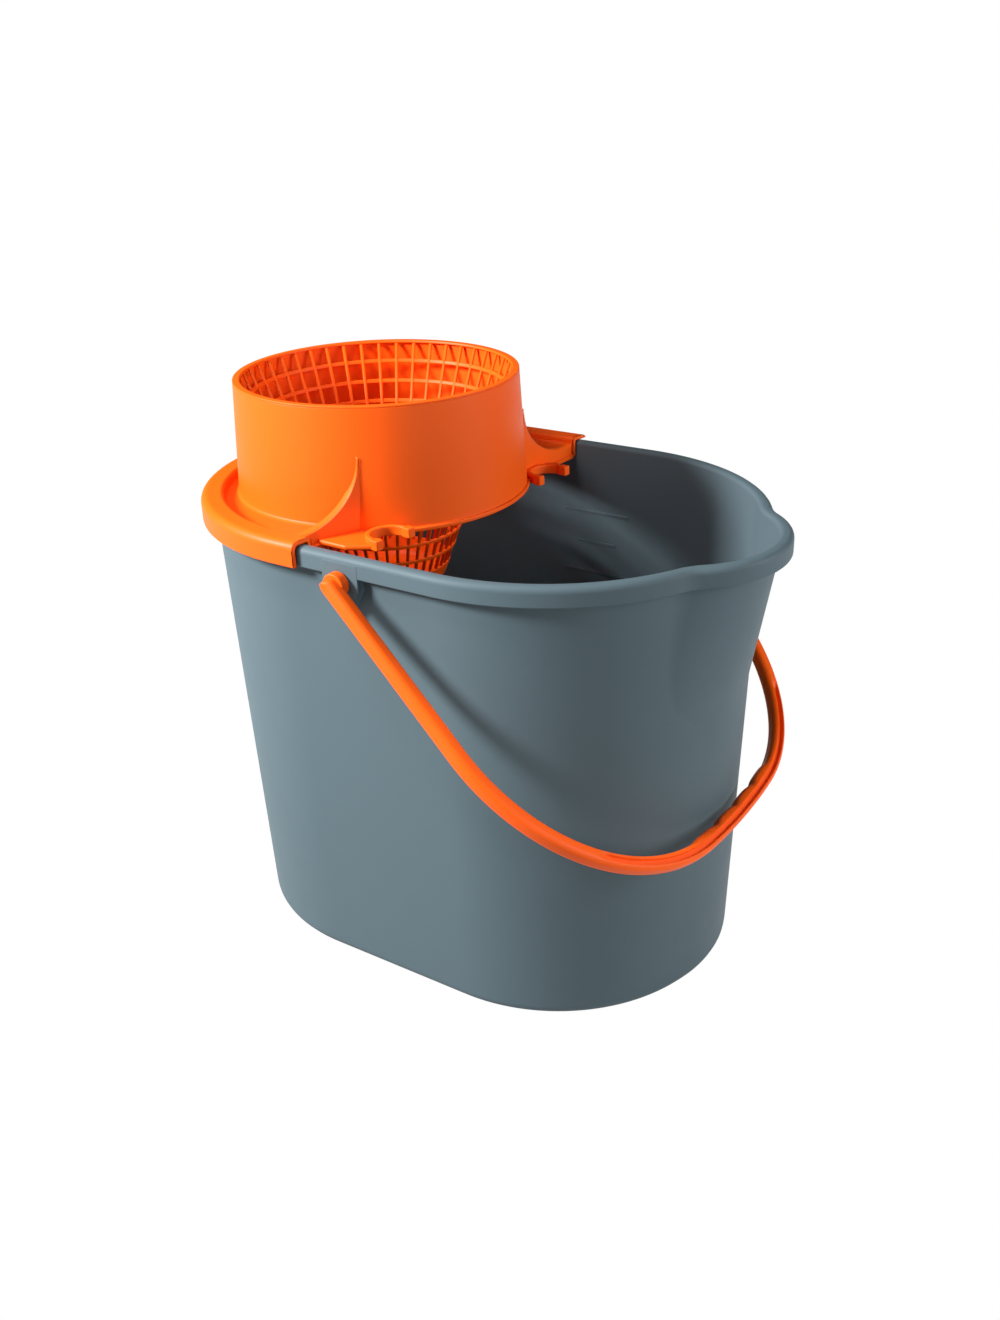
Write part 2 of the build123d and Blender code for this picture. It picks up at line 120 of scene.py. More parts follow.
class BucketSizes(bpy.types.PropertyGroup):
    """Sizes of the grey bucket."""

    height: length("Height", "Height of the rim", 0.270)
    end_arc_x: length("End arc", "Distance of the round ends' centres from the middle", 0.048)
    base_radius: length("Base radius", "Radius of the round ends at the floor", 0.106)
    draft: turn("Draft", "Slope of the wall", 2.0)
    wall: length("Wall", "Wall thickness", 0.0025)
    floor_level: length("Floor level", "Height of the inside floor", 0.007)
    floor_round: length("Floor round", "Radius between floor and wall inside", 0.008)
    base_round: length("Base round", "Radius of the outer bottom edge", 0.006)
    foot_width: length("Foot width", "Width of the foot ring", 0.012)
    foot_height: length("Foot height", "Depth of the recess inside the foot ring", 0.004)
    rib_width: length("Rib width", "Width of the ribs in the recess", 0.005)
    cross_ribs: number("Cross ribs", "Ribs across the recess", 3)
    rim_overhang: length("Rim overhang", "Reach of the rim outside the wall", 0.0048)
    rim_drop: length("Rim drop", "Height of the rim's skirt", 0.011)
    rim_skirt: length("Rim skirt", "Thickness of the rim's skirt", 0.002)
    rim_flange: length("Rim flange", "Thickness of the rim's top", 0.0026)
    rim_outer_round: length("Rim outer round", "Radius of the rim's outer edge", 0.0034)
    rim_inner_round: length("Rim inner round", "Radius of the rim's inner edge", 0.0026)
    spout_reach: length("Spout reach", "Reach of the spout past the round end", 0.016)
    spout_tip: length("Spout tip", "Plan radius of the spout's tip", 0.055)
    spout_blend: length("Spout blend", "Plan radius of the hollows beside the tip", 0.035)
    flute_foot: length("Flute foot", "Height at which the spout's flute starts", 0.175)
    flute_soft: length("Flute softness", "Height over which the flute's foot is eased", 0.008)
    flute_fade: length("Flute fade", "Reach of the bulge below the flute", 0.0004)
    flute_radius: length("Flute radius", "Plan radius of the tip at the flute's foot", 0.099)
    pivot_x: length("Pivot", "Position of the pivots along the bucket", -0.007)
    pivot_height: length("Pivot height", "Height of the handle's pivots", 0.2557)
    ear_width: length("Ear width", "Width of a pivot ear", 0.023)
    ear_height: length("Ear height", "Height of a pivot ear below the rim's top", 0.031)
    ear_shoulder: length("Ear shoulder", "Depth under the rim's top where the taper starts", 0.018)
    ear_foot: length("Ear foot", "Width of a pivot ear at its lower end", 0.009)
    ear_plate: length("Ear plate", "Plate thickness of a pivot ear", 0.0022)
    ear_round: length("Ear round", "Radius of an ear's shoulders", 0.004)
    ear_proud: length("Ear proud", "Height of an ear's face over the rim's face", 0.00012)
    mark_x: length("Mark centre", "Position of the level marks along the far wall", 0.014)
    mark_height: length("Mark height", "Height of a level mark's line", 0.0018)
    mark_proud: length("Mark proud", "Relief of a level mark", 0.0006)
    mark_levels: lengths("Mark levels", "Heights of the level marks", (0.184, 0.2045, 0.225))
    mark_lengths: lengths("Mark lengths", "Lengths of the level marks", (0.046, 0.028, 0.046))


class CollarSizes(bpy.types.PropertyGroup):
    """Sizes of the wringer's collar, its rim cover, trough, plates, shelves and pole clips."""

    axis_x: length("Axis", "Position of the wringer's axis along the bucket", -0.0697)
    turned: turn("Turn", "Turn of the wringer about its axis", -8.0)
    top: length("Top", "Height of the collar's top edge", 0.3315)
    bottom: length("Bottom", "Height of the collar's bottom edge", 0.263)
    top_radius: length("Top radius", "Outer radius at the top", 0.0825)
    bottom_radius: length("Bottom radius", "Outer radius at the bottom", 0.086)
    wall: length("Wall", "Wall thickness", 0.002)
    bead: length("Bead", "Relief of the bead around the bottom", 0.0014)
    bead_height: length("Bead height", "Height of the bead", 0.0026)
    cover_end: length("Cover end", "Where the rim cover ends, along the turned wringer", 0.0515)
    cover_wall: length("Cover wall", "Thickness of the rim cover", 0.0024)
    cover_gap: length("Cover gap", "Gap between the cover and the rim's sides", 0.0006)
    cover_seat: length("Cover seat", "Gap between the cover and the rim's top", 0.0003)
    cover_drop: length("Cover drop", "Height of the cover's outer skirt", 0.014)
    cover_inner_drop: length("Inner drop", "Height of the cover's inner skirt", 0.012)
    cover_round: length("Cover round", "Radius of the cover's outer top edge", 0.0044)
    cover_inner_round: length("Inner round", "Radius of the cover's inner top edge", 0.0022)
    hub_clearance: length("Hub clearance", "Room beside an ear where the skirt is cut away", 0.012)
    web_level: length("Web level", "Height of the trough's floor", 0.267)
    web_thickness: length("Web", "Thickness of the trough's floor", 0.0022)
    trough_round: length("Trough round", "Radius along the trough's sides", 0.005)
    ramp: length("Ramp", "Run over which the floor rises to an end plate", 0.01)
    plate_turn: turn("Plate turn", "Further turn of the end plates about the wringer's axis", -4.3)
    root_angle: turn("Plate root", "Where an end plate leaves the collar", 48.3)
    plate_x: length("Plate end", "Outer end of a plate along the turned wringer", 0.0463)
    plate_y: length("Plate reach", "Outer end of a plate across the turned wringer", 0.1015)
    plate_thickness: length("Plate", "Thickness of an end plate", 0.006)
    plate_round: length("Plate round", "Radius of a plate's top edges", 0.0012)
    plate_peak: length("Plate peak", "Height of a plate at the collar", 0.306)
    plate_sink: length("Plate sink", "Depth of a plate's outer end below the cover's top", 0.004)
    plate_foot: length("Plate foot", "Height of a plate's underside at its outer end", 0.259)
    shelf_share: factor("Shelf share", "Share of an end plate that its shelf follows", 0.66)
    shelf_x: length("Shelf corner along", "Shelf's outer corner along the turned wringer", 0.062)
    shelf_y: length("Shelf corner across", "Shelf's outer corner across the turned wringer", 0.09)
    clip_angle: turn("Clip angle", "Where the pole clips sit on the collar", 42.7)
    clip_offset: length("Clip offset", "Distance of a pole clip's centre from the collar", 0.013)
    clip_bore: length("Clip bore", "Bore of a pole clip", 0.021)
    clip_wall: length("Clip wall", "Wall of a pole clip", 0.003)
    clip_height: length("Clip height", "Height of a pole clip", 0.0056)
    clip_mouth: length("Clip mouth", "Opening of a pole clip", 0.019)
    nub_overlap: length("Nub overlap", "Reach of a clip's end back over the half ring", 0.001)
    nub_length: length("Nub length", "Length of a clip's end", 0.0056)
    nub_width: length("Nub width", "Width of a clip's end", 0.005)


class BasketSizes(bpy.types.PropertyGroup):
    """Sizes of the wringer's lattice basket."""

    top: length("Top", "Height of the flange's top", 0.3327)
    bottom: length("Bottom", "Height of the underside", 0.204)
    top_radius: length("Top radius", "Outer radius of the cone under the flange", 0.08)
    bottom_radius: length("Bottom radius", "Outer radius of the cone at the bottom", 0.033)
    wall: length("Wall", "Wall thickness", 0.0018)
    flange_round: length("Flange round", "Radius of the flange's top edges", 0.0005)
    bottom_round: length("Bottom round", "Radius of the cup's bottom edge", 0.009)
    solid_band: length("Solid band", "Height of the closed cup at the bottom", 0.012)
    top_band: length("Top band", "Height of the closed band under the flange", 0.0004)
    rib_width: length("Rib width", "Width of an upright rib", 0.0018)
    rib_proud: length("Rib proud", "Relief of the ribs inside the rings", 0.0003)
    ring_height: length("Ring height", "Height of a ring", 0.0024)
    bar_round: length("Bar round", "Radius of the lattice bars' edges", 0.0006)
    ribs: number("Ribs", "Upright ribs around the cone", 44)
    rows: number("Rows", "Rows of windows", 10)


class BailSizes(bpy.types.PropertyGroup):
    """Sizes of the bail handle."""

    rest_angle: turn("Rest angle", "Slope of the handle below the level", 40.4)
    root_half_width: length("Root half width", "Distance of an arm from the middle at its pivot", 0.1275)
    half_width: length("Half width", "Widest distance of the centre line from the middle", 0.1392)
    width: length("Bar width", "Width of the bar in the handle's plane", 0.0086)
    depth: length("Bar depth", "Depth of the bar square to the handle's plane", 0.009)
    bar_round: length("Bar round", "Radius of the bar's edges", 0.0032)
    reach: length("Reach", "Distance of the grip's centre line from the pivots", 0.22841)
    corner_radius: length("Corner radius", "Radius of the bends beside the grip", 0.109)
    end_radius: length("End radius", "Radius of the grip's sweep", 0.49)
    hub_radius: length("Hub radius", "Radius of the hubs beside the ears", 0.0066)
    hub_round: length("Hub round", "Radius of a hub's edges", 0.0008)
    pin_radius: length("Pin radius", "Radius of the pivot pins", 0.0045)
    pin_stub: length("Pin stub", "Reach of a pin past its ear plate", 0.0016)
    side_gap: length("Side gap", "Gap between a hub and the ear", 0.0004)
    groove_width: length("Groove width", "Width of the grooves along the grip", 0.0032)
    groove_depth: length("Groove depth", "Depth of the grooves", 0.0024)
    groove_start: length("Groove start", "Where the grooves start past the bends' centres", 0.072)
    bump_height: length("Swell height", "Height of a finger swell", 0.0013)
    bump_pitch: length("Swell pitch", "Spacing of the finger swells", 0.025)
    bump_gap: length("Swell gap", "Gap between two swells", 0.002)
    bumps: number("Swells", "Finger swells on the grip", 4)


class FinishSettings(bpy.types.PropertyGroup):
    """Colours and surface of the two plastics."""

    grey: colour("Grey", "Bucket plastic", (0.089, 0.13, 0.15))
    orange: colour("Orange", "Wringer and handle plastic", (0.98, 0.112, 0.004))
    grey_roughness: factor("Grey roughness", "Roughness of the bucket plastic", 0.5)
    specular: factor("Specular", "Strength of both plastics' mirror reflection", 0.2)
    orange_roughness: factor("Orange roughness", "Roughness of the orange plastic", 0.4)


class StageSettings(bpy.types.PropertyGroup):
    """Camera and lights."""

    azimuth: turn("Azimuth", "Camera's direction round the bucket", 33.63)
    elevation: turn("Elevation", "Camera's height above the level", 25.78)
    roll: turn("Roll", "Camera's roll", -1.81)
    distance: length("Distance", "Camera's distance from its target", 0.7842)
    target: lengths("Target", "Point the camera looks at", (0.009545, 0.0, 0.16506))
    lens: bpy.props.FloatProperty(name="Lens", description="Focal length", default=35.44, unit="CAMERA")
    ambient: factor("Ambient", "Strength of the even light from all round", 0.04)


def unit(vector):
    """Vectors of length one along the last axis."""
    return vector / np.linalg.norm(vector, axis=-1, keepdims=True)


def smooth_step(value):
    """Eased share between 0 and 1."""
    share = np.clip(value, 0.0, 1.0)
    return share * share * (3 - 2 * share)


def directions(angle):
    """Vectors of length one in a plane, at angles."""
    return np.column_stack([np.cos(angle), np.sin(angle)])


def grid(*tables):
    """Tables of numbers spread over the same rows and columns and joined point by point."""
    return np.stack(np.broadcast_arrays(*tables), axis=-1)


def rounded_corner(before, corner, after, radius):
    """Arc tangent to both runs of a corner, with a support point on each run."""
    towards = unit(before - corner)
    away = unit(after - corner)
    half = np.arccos(np.clip(towards @ away, -1.0, 1.0)) / 2
    cut = radius / np.tan(half)
    centre = corner + unit(towards + away) * radius / np.sin(half)
    start = corner + towards * cut - centre
    end = corner + away * cut - centre
    sweep = np.pi - 2 * half
    share = np.linspace(0, 1, ARC_STEPS)[:, None]
    arc = centre + (np.sin((1 - share) * sweep) * start + np.sin(share * sweep) * end) / np.sin(sweep)
    return np.vstack([corner + towards * (cut + SUPPORT), arc, corner + away * (cut + SUPPORT)])


def profile(corners, closed=True):
    """Line through corners (across, height, radius), each corner an arc of its radius.

    An open line keeps its first and last point as they are.
    """
    table = np.array(corners)
    points = table[:, :2]
    count = len(points)
    arcs = [
        rounded_corner(points[index - 1], points[index], points[(index + 1) % count], table[index, 2])
        for index in (range(count) if closed else range(1, count - 1))
    ]
    if not closed:
        arcs = [points[:1]] + arcs + [points[-1:]]
    return np.vstack(arcs)


def fine(points, step):
    """A line's points with more between them, so that no run is longer than a step."""
    runs = np.linalg.norm(np.diff(points, axis=0), axis=1)
    counts = np.maximum(1, np.ceil(runs / step).astype(int))
    parts = [
        first + (last - first) * (np.arange(count) / count)[:, None]
        for first, last, count in zip(points[:-1], points[1:], counts)
    ]
    return np.vstack(parts + [points[-1:]])


def inset(outline, distance):
    """A closed counter-clockwise outline moved inwards, each point along its normal."""
    tangent = unit(np.roll(outline, -1, axis=0) - np.roll(outline, 1, axis=0))
    outward = np.stack([tangent[:, 1], -tangent[:, 0]], axis=-1)
    return outline - outward * distance


def shell(points, close_rows=False):
    """Vertices and faces of a closed surface over a grid (rows, columns, 3).

    Columns close on themselves. Rows do too, or else the first and the last row get a
    flat face. The faces look outwards: their order is turned if the volume is negative.
    """
    rows, columns = points.shape[:2]
    row = np.arange(rows if close_rows else rows - 1)[:, None]
    column = np.arange(columns)[None, :]
    next_row = (row + 1) % rows
    next_column = (column + 1) % columns
    quads = grid(
        row * columns + column,
        row * columns + next_column,
        next_row * columns + next_column,
        next_row * columns + column,
    ).reshape(-1, 4)
    vertices = points.reshape(-1, 3)
    loop = np.arange(columns)
    caps = [] if close_rows else [loop[::-1], (rows - 1) * columns + loop]
    fans = [np.stack([np.full(columns - 2, cap[0]), cap[1:-1], cap[2:]], axis=-1) for cap in caps]
    triangles = np.vstack([quads[:, [0, 1, 2]], quads[:, [0, 2, 3]]] + fans)
    first, second, third = (vertices[triangles[:, index]] for index in range(3))
    volume = np.sum(first * np.cross(second, third))
    faces = quads.tolist() + [cap.tolist() for cap in caps]
    if volume < 0:
        faces = [face[::-1] for face in faces]
    return vertices, faces


def turned(line, count):
    """Points of a line (distance, place) turned about an axis: (first, second, place)."""
    angle = np.linspace(0, 2 * np.pi, count, endpoint=False)[None, :]
    return grid(line[:, :1] * np.cos(angle), line[:, :1] * np.sin(angle), line[:, 1:])


def revolve(line, centre_x, count, close_rows=True):
    """A line (radius, height) turned about an upright axis in the middle plane."""
    return shell(turned(line, count) + (centre_x, 0.0, 0.0), close_rows)


def prism(outline, low, high, edge):
    """A closed outline carried from low to high, its edges rounded by inset rings.

    The points are (first, second, along), for the caller to place.
    """
    angle = np.linspace(0, np.pi / 2, ARC_STEPS)
    shrink = np.concatenate([[edge + SUPPORT], edge * (1 - np.sin(angle)), [0.0]])
    depth = np.concatenate([[0.0], edge * (1 - np.cos(angle)), [edge + SUPPORT]])
    shrink = np.concatenate([shrink, shrink[::-1]])
    along = np.concatenate([low + depth, (high - depth)[::-1]])
    rings = [
        np.column_stack([inset(outline, amount), np.full(len(outline), level)])
        for amount, level in zip(shrink, along)
    ]
    return np.stack(rings)


def placed(points, origin, first, second, third):
    """Local points put in the part's frame along three directions."""
    axes = np.array([first, second, third], dtype=float)
    return np.array(origin) + points @ axes


def make_piece(name, shells, material, body, slot, *nodes):
    """One object from closed surfaces, riding on a body in place of the named solids."""
    vertices, faces = [], []
    for shell_vertices, shell_faces in shells:
        offset = len(vertices)
        faces += [[index + offset for index in face] for face in shell_faces]
        vertices += shell_vertices.tolist()
    mesh = bpy.data.meshes.new(name)
    mesh.from_pydata(vertices, [], faces)
    mesh.polygons.foreach_set("use_smooth", np.ones(len(faces), dtype=bool))
    mesh.materials.append(material)
    if mesh.validate():
        raise RuntimeError(f"{name} has faulty faces")
    piece = bpy.data.objects.new(name, mesh)
    bpy.context.scene.collection.objects.link(piece)
    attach(piece, body)
    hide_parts(*nodes)


def arc_points(centre_x, centre_y, radius, start, end, count):
    """Points of arcs, one arc a row, without the end point."""
    angle = start + (end - start) * np.linspace(0, 1, count, endpoint=False)[None, :]
    return grid(centre_x + radius * np.cos(angle), centre_y + radius * np.sin(angle))


def run_points(start_x, end_x, across, count):
    """Points of straight runs along the bucket, one run a row, without the end point."""
    share = np.linspace(0, 1, count, endpoint=False)[None, :]
    return grid(start_x + (end_x - start_x) * share, across)


def wall_radius(sizes, level):
    """Outer radius of the round ends at a height."""
    return sizes.base_radius + level * np.tan(sizes.draft)


def rim_radius(sizes):
    """Outer wall radius of the round ends at the rim."""
    return wall_radius(sizes, sizes.height)


def bucket_plan(sizes, level, grow):
    """Plan loops of the bucket at heights, grown outwards by offsets: (loops, points, 2).

    Two straight sides join two round ends. The spout is a tip arc that two hollow arcs
    blend into the round end; its reach grows linearly from the flute's foot to the rim,
    eased by a parabola at the foot.
    """
    level = level[:, None]
    grow = grow[:, None]
    end_x = sizes.end_arc_x
    end_radius = wall_radius(sizes, level)
    rise = level - sizes.flute_foot
    soft = sizes.flute_soft
    eased = np.where(rise > soft, rise, np.maximum(rise + soft, 0) ** 2 / (4 * soft))
    share = eased / (sizes.height - sizes.flute_foot)
    reach = sizes.flute_fade + (sizes.spout_reach - sizes.flute_fade) * share
    tip_radius = sizes.flute_radius + (sizes.spout_tip - sizes.flute_radius) * share
    tip_x = end_x + end_radius + reach - tip_radius
    to_end = end_radius + sizes.spout_blend
    to_tip = tip_radius + sizes.spout_blend
    span = tip_x - end_x
    along = (to_end**2 - to_tip**2 + span**2) / (2 * span)
    hollow_y = np.sqrt(to_end**2 - along**2)
    hollow_x = end_x + along
    end_angle = np.arctan2(hollow_y, along)
    tip_angle = np.arctan2(hollow_y, hollow_x - tip_x)
    hollow_radius = sizes.spout_blend - grow
    end_radius = end_radius + grow
    tip_radius = tip_radius + grow
    quarter = np.pi / 2
    side_count, end_count, hollow_count, tip_count, back_count = 24, 48, 28, 56, 112
    hollow_start, hollow_end = np.pi - end_angle, np.pi - tip_angle
    return np.concatenate(
        [
            run_points(-end_x, end_x, -end_radius, side_count),
            arc_points(end_x, 0, end_radius, -quarter, -end_angle, end_count),
            arc_points(hollow_x, -hollow_y, hollow_radius, hollow_start, hollow_end, hollow_count),
            arc_points(tip_x, 0, tip_radius, -tip_angle, tip_angle, tip_count),
            arc_points(hollow_x, hollow_y, hollow_radius, -hollow_end, -hollow_start, hollow_count),
            arc_points(end_x, 0, end_radius, end_angle, quarter, end_count),
            run_points(end_x, -end_x, end_radius, side_count),
            arc_points(-end_x, 0, end_radius, quarter, 3 * quarter, back_count),
        ],
        axis=1,
    )


def bucket_shell(sizes):
    """The bucket's wall, rim, floor and foot ring: one line (offset, height) round the plan.

    The floor and the recess under it run in past their rounds and end in flat faces.
    """
    run_in = 0.004
    rim_bottom = sizes.height - sizes.rim_drop
    skirt_inside = sizes.rim_overhang - sizes.rim_skirt
    under_flange = sizes.height - sizes.rim_flange
    line = profile(
        [
            (-sizes.foot_width - run_in, sizes.foot_height, 0),
            (-sizes.foot_width, sizes.foot_height, EDGE),
            (-sizes.foot_width, 0.0, EDGE),
            (0.0, 0.0, sizes.base_round),
            (0.0, under_flange, EDGE),
            (skirt_inside, under_flange, EDGE),
            (skirt_inside, rim_bottom, FINE_EDGE),
            (sizes.rim_overhang, rim_bottom, EDGE),
            (sizes.rim_overhang, sizes.height, sizes.rim_outer_round),
            (-sizes.wall, sizes.height, sizes.rim_inner_round),
            (-sizes.wall, sizes.floor_level, sizes.floor_round),
            (-sizes.wall - sizes.floor_round - run_in, sizes.floor_level, 0),
        ],
        closed=False,
    )
    grow, height = fine(line, LONGEST_RUN).T
    plan = bucket_plan(sizes, np.where(grow > 0, sizes.height, height), grow)
    return shell(grid(plan[..., 0], plan[..., 1], height[:, None]))


def rectangle(centre, size, edge, top_edge=None):
    """A closed rectangle about a centre, its upper corners of a radius of their own if given."""
    middle_x, middle_y = centre
    half_x, half_y = size[0] / 2, size[1] / 2
    top_edge = top_edge or edge
    return profile(
        [
            (middle_x - half_x, middle_y - half_y, edge),
            (middle_x + half_x, middle_y - half_y, edge),
            (middle_x + half_x, middle_y + half_y, top_edge),
            (middle_x - half_x, middle_y + half_y, top_edge),
        ]
    )


def ear_shells(sizes, side):
    """A pivot ear: a tapered face plate just proud of the rim and two flanks back to the wall."""
    face = rim_radius(sizes) + sizes.rim_overhang
    bottom = sizes.height - sizes.ear_height
    shoulder = sizes.height - sizes.ear_shoulder
    top = sizes.height - sizes.rim_outer_round
    half, foot, plate = sizes.ear_width / 2, sizes.ear_foot / 2, sizes.ear_plate
    whole, right = (
        profile(
            [
                (inner_foot, bottom, EDGE),
                (foot, bottom, EDGE),
                (half, shoulder, sizes.ear_round),
                (half, top, EDGE),
                (inner_half, top, EDGE),
                (inner_half, shoulder, sizes.ear_round),
            ]
        )
        for inner_foot, inner_half in ((-foot, -half), (foot - plate, half - plate))
    )
    left = right[::-1] * (-1, 1)
    back = rim_radius(sizes) - sizes.wall
    shells = []
    for outline, start, end in (
        (whole, face - plate, face + sizes.ear_proud),
        (right, back, face - plate / 2),
        (left, back, face - plate / 2),
    ):
        body = prism(outline + (sizes.pivot_x, 0), start, end, SHARP)
        shells.append(shell(placed(body, (0, 0, 0), (1, 0, 0), (0, 0, 1), (0, side, 0))))
    return shells


def mark_shells(sizes):
    """The level marks: short raised bars on the inside of the far wall."""
    shells = []
    for level, size in zip(sizes.mark_levels, sizes.mark_lengths):
        inside = wall_radius(sizes, level) - sizes.wall
        outline = rectangle((sizes.mark_x, level), (size, sizes.mark_height), FINE_EDGE)
        bar = prism(outline, -inside - sizes.wall / 2, sizes.mark_proud - inside, SHARP)
        shells.append(shell(placed(bar, (0, 0, 0), (1, 0, 0), (0, 0, 1), (0, -1, 0))))
    return shells


def rib_shells(sizes):
    """The ribs under the floor, sunk a little into it: one along the bucket and several across."""
    sunk = 0.001
    reach = sizes.base_radius - sizes.foot_width / 2
    outlines = [rectangle((0, 0), (2 * (sizes.end_arc_x + reach), sizes.rib_width), EDGE)]
    for centre in np.linspace(-sizes.end_arc_x, sizes.end_arc_x, sizes.cross_ribs):
        outlines.append(rectangle((centre, 0), (sizes.rib_width, 2 * reach), EDGE))
    return [shell(prism(outline, 0.0, sizes.foot_height + sunk, SHARP)) for outline in outlines]


def collar_radius(sizes, level):
    """Outer radius of the flared collar at a height."""
    share = (level - sizes.bottom) / (sizes.top - sizes.bottom)
    return sizes.bottom_radius + (sizes.top_radius - sizes.bottom_radius) * share


def in_wringer(sizes, along, across, further=0.0):
    """Plan point given along and across the turned wringer's own axis, turned further if asked."""
    cosine, sine = np.cos(sizes.turned + further), np.sin(sizes.turned + further)
    return np.array([sizes.axis_x + along * cosine - across * sine, along * sine + across * cosine])


def ring_shell(sizes):
    """The collar's flared ring with its bottom bead."""
    bead_top = sizes.bottom + sizes.bead_height
    bead_radius = sizes.bottom_radius + sizes.bead
    line = profile(
        [
            (sizes.bottom_radius - sizes.wall, sizes.bottom, SHARP),
            (bead_radius, sizes.bottom, EDGE),
            (bead_radius, bead_top, EDGE),
            (collar_radius(sizes, bead_top), bead_top, CREASE),
            (sizes.top_radius, sizes.top, SHARP),
            (sizes.top_radius - sizes.wall, sizes.top, SHARP),
        ]
    )
    return revolve(fine(line, LONGEST_RUN), sizes.axis_x, ROUND_COUNT)


def skirt_radius(sizes, bucket):
    """Distance of the middle of the cover's inner skirt from the round end's centre."""
    return rim_radius(bucket) - bucket.wall - sizes.cover_gap - sizes.cover_wall / 2


def cover_shell(sizes, bucket):
    """The rim cover: an inverted channel carried round the rim between two square ends.

    Its section (offset, height) shrinks by a quarter circle at both ends. On the far
    side the outer skirt fades out beside the pivot ear.
    """
    channel_round, end_round, notch_fade = 0.0018, 0.0007, 0.0015
    end_steps, run_steps, bend_steps = 5, 40, 72
    first_share = 0.0015
    wall = sizes.cover_wall
    inner = -bucket.wall - sizes.cover_gap
    outer = bucket.rim_overhang + sizes.cover_gap + wall
    inside = bucket.height + sizes.cover_seat
    top = inside + wall
    section = profile(
        [
            (outer, top - sizes.cover_drop, SOFT_EDGE),
            (outer, top, sizes.cover_round),
            (inner - wall, top, sizes.cover_inner_round),
            (inner - wall, top - sizes.cover_inner_drop, FINE_EDGE),
            (inner, top - sizes.cover_inner_drop, FINE_EDGE),
            (inner, inside, EDGE),
            (outer - wall, inside, channel_round),
            (outer - wall, top - sizes.cover_drop, SOFT_EDGE),
        ]
    )
    radius = rim_radius(bucket)
    cosine, sine = np.cos(sizes.turned), np.sin(sizes.turned)
    notch = bucket.pivot_x - bucket.ear_width / 2 - sizes.hub_clearance
    # Each step: how much the section shrinks, its distance from the end and its share of the run
    quarter = np.linspace(0, np.pi / 2, end_steps)
    steps = [(end_round * (1 - np.sin(at)), end_round * (1 - np.cos(at)), 0.0) for at in quarter]
    steps += [(0.0, 0.0, share) for share in np.linspace(first_share, 1, run_steps)]
    straights = []
    for side in SIDES:
        straight = []
        for shrink, moved, share in steps:
            ring = inset(section, shrink)
            across = side * (radius + ring[:, 0])
            end_across = (across - sizes.cover_end * sine) / cosine
            end_x = sizes.axis_x + sizes.cover_end * cosine - end_across * sine
            along = end_x - moved - share * (end_x + bucket.end_arc_x)
            keep = 1 - smooth_step((along - notch) / notch_fade + 0.5)
            skirt = (side > 0) & (ring[:, 0] > outer - 1.5 * wall) & (ring[:, 1] < inside)
            height = np.where(skirt, inside + (ring[:, 1] - inside) * keep, ring[:, 1])
            straight.append(grid(along, across, height))
        straights.append(straight)
    angle = np.linspace(1.5 * np.pi, 0.5 * np.pi, bend_steps)[1:-1, None]
    reach = radius + section[:, 0]
    bend = grid(reach * np.cos(angle) - bucket.end_arc_x, reach * np.sin(angle), section[:, 1])
    return shell(np.concatenate([straights[0], bend, straights[1][::-1]]))


def plate_points(sizes, side):
    """Root and stated end of an end plate in plan."""
    radius = sizes.bottom_radius - sizes.wall / 2
    along, across = radius * np.cos(sizes.root_angle), radius * np.sin(sizes.root_angle)
    root = in_wringer(sizes, along, side * across, sizes.plate_turn)
    end = in_wringer(sizes, sizes.plate_x, side * sizes.plate_y, sizes.plate_turn)
    return root, end


def plate_course(sizes, bucket, side):
    """Root of an end plate in plan, its direction and its reach to the cover's inner skirt."""
    root, end = plate_points(sizes, side)
    aim = unit(end - root)
    reach = (side * skirt_radius(sizes, bucket) - root[1]) / aim[1]
    return root, aim, reach


def plate_top(sizes, bucket, share):
    """Height of a plate's hollow top edge: a quarter ellipse from the collar to the cover."""
    low = bucket.height + sizes.cover_seat + sizes.cover_wall - sizes.plate_sink
    return sizes.plate_peak - (sizes.plate_peak - low) * np.sqrt(1 - (1 - share) ** 2)


def plate_shell(sizes, bucket, side):
    """An end plate of the trough: its section carried along the hollow top edge.

    The section's head has rounded edges and stands square to the top edge, a quarter
    ellipse. Its foot with the bead follows the sloping underside.
    """
    curve_steps, stem = 48, 0.006
    root, aim, reach = plate_course(sizes, bucket, side)
    angle = np.linspace(0, np.pi / 2, curve_steps)[1:]
    share = np.concatenate([[-sizes.wall / reach, 0.0], 1 - np.cos(angle)])
    top = plate_top(sizes, bucket, np.maximum(share, 0.0))
    drop = sizes.plate_peak - top[-1]
    curve_normal = unit(np.column_stack([drop * np.cos(angle), reach * np.sin(angle)]))
    normal = np.vstack([[(0.0, 1.0)], unit(np.array([[1.0, 1.0]])), curve_normal])
    quarter = np.linspace(0, np.pi / 2, ARC_STEPS)
    side_in = sizes.plate_round * (1 - np.cos(quarter))
    side_down = sizes.plate_round * (1 - np.sin(quarter))
    head_across = np.concatenate([side_in, sizes.plate_thickness - side_in[::-1]])
    head_down = np.concatenate([side_down, side_down[::-1]])
    foot = profile(
        [
            (sizes.plate_thickness, stem, 0),
            (sizes.plate_thickness, 0.0, FINE_EDGE),
            (-sizes.bead, 0.0, FINE_EDGE),
            (-sizes.bead, sizes.bead_height, FINE_EDGE),
            (0.0, sizes.bead_height, CREASE),
            (0.0, stem, 0),
        ],
        closed=False,
    )
    along = reach * share[:, None]
    under = sizes.bottom + (sizes.plate_foot - sizes.bottom) * share[:, None]
    head_along = along - normal[:, :1] * head_down
    head = grid(head_along, head_across, top[:, None] - normal[:, 1:] * head_down)
    sole = grid(along, foot[:, 0], under + foot[:, 1])
    back = side * np.array([-aim[1], aim[0], 0.0])
    section = np.concatenate([head, sole], axis=1)
    return shell(placed(section, (*root, 0), (*aim, 0), back, (0, 0, 1)))


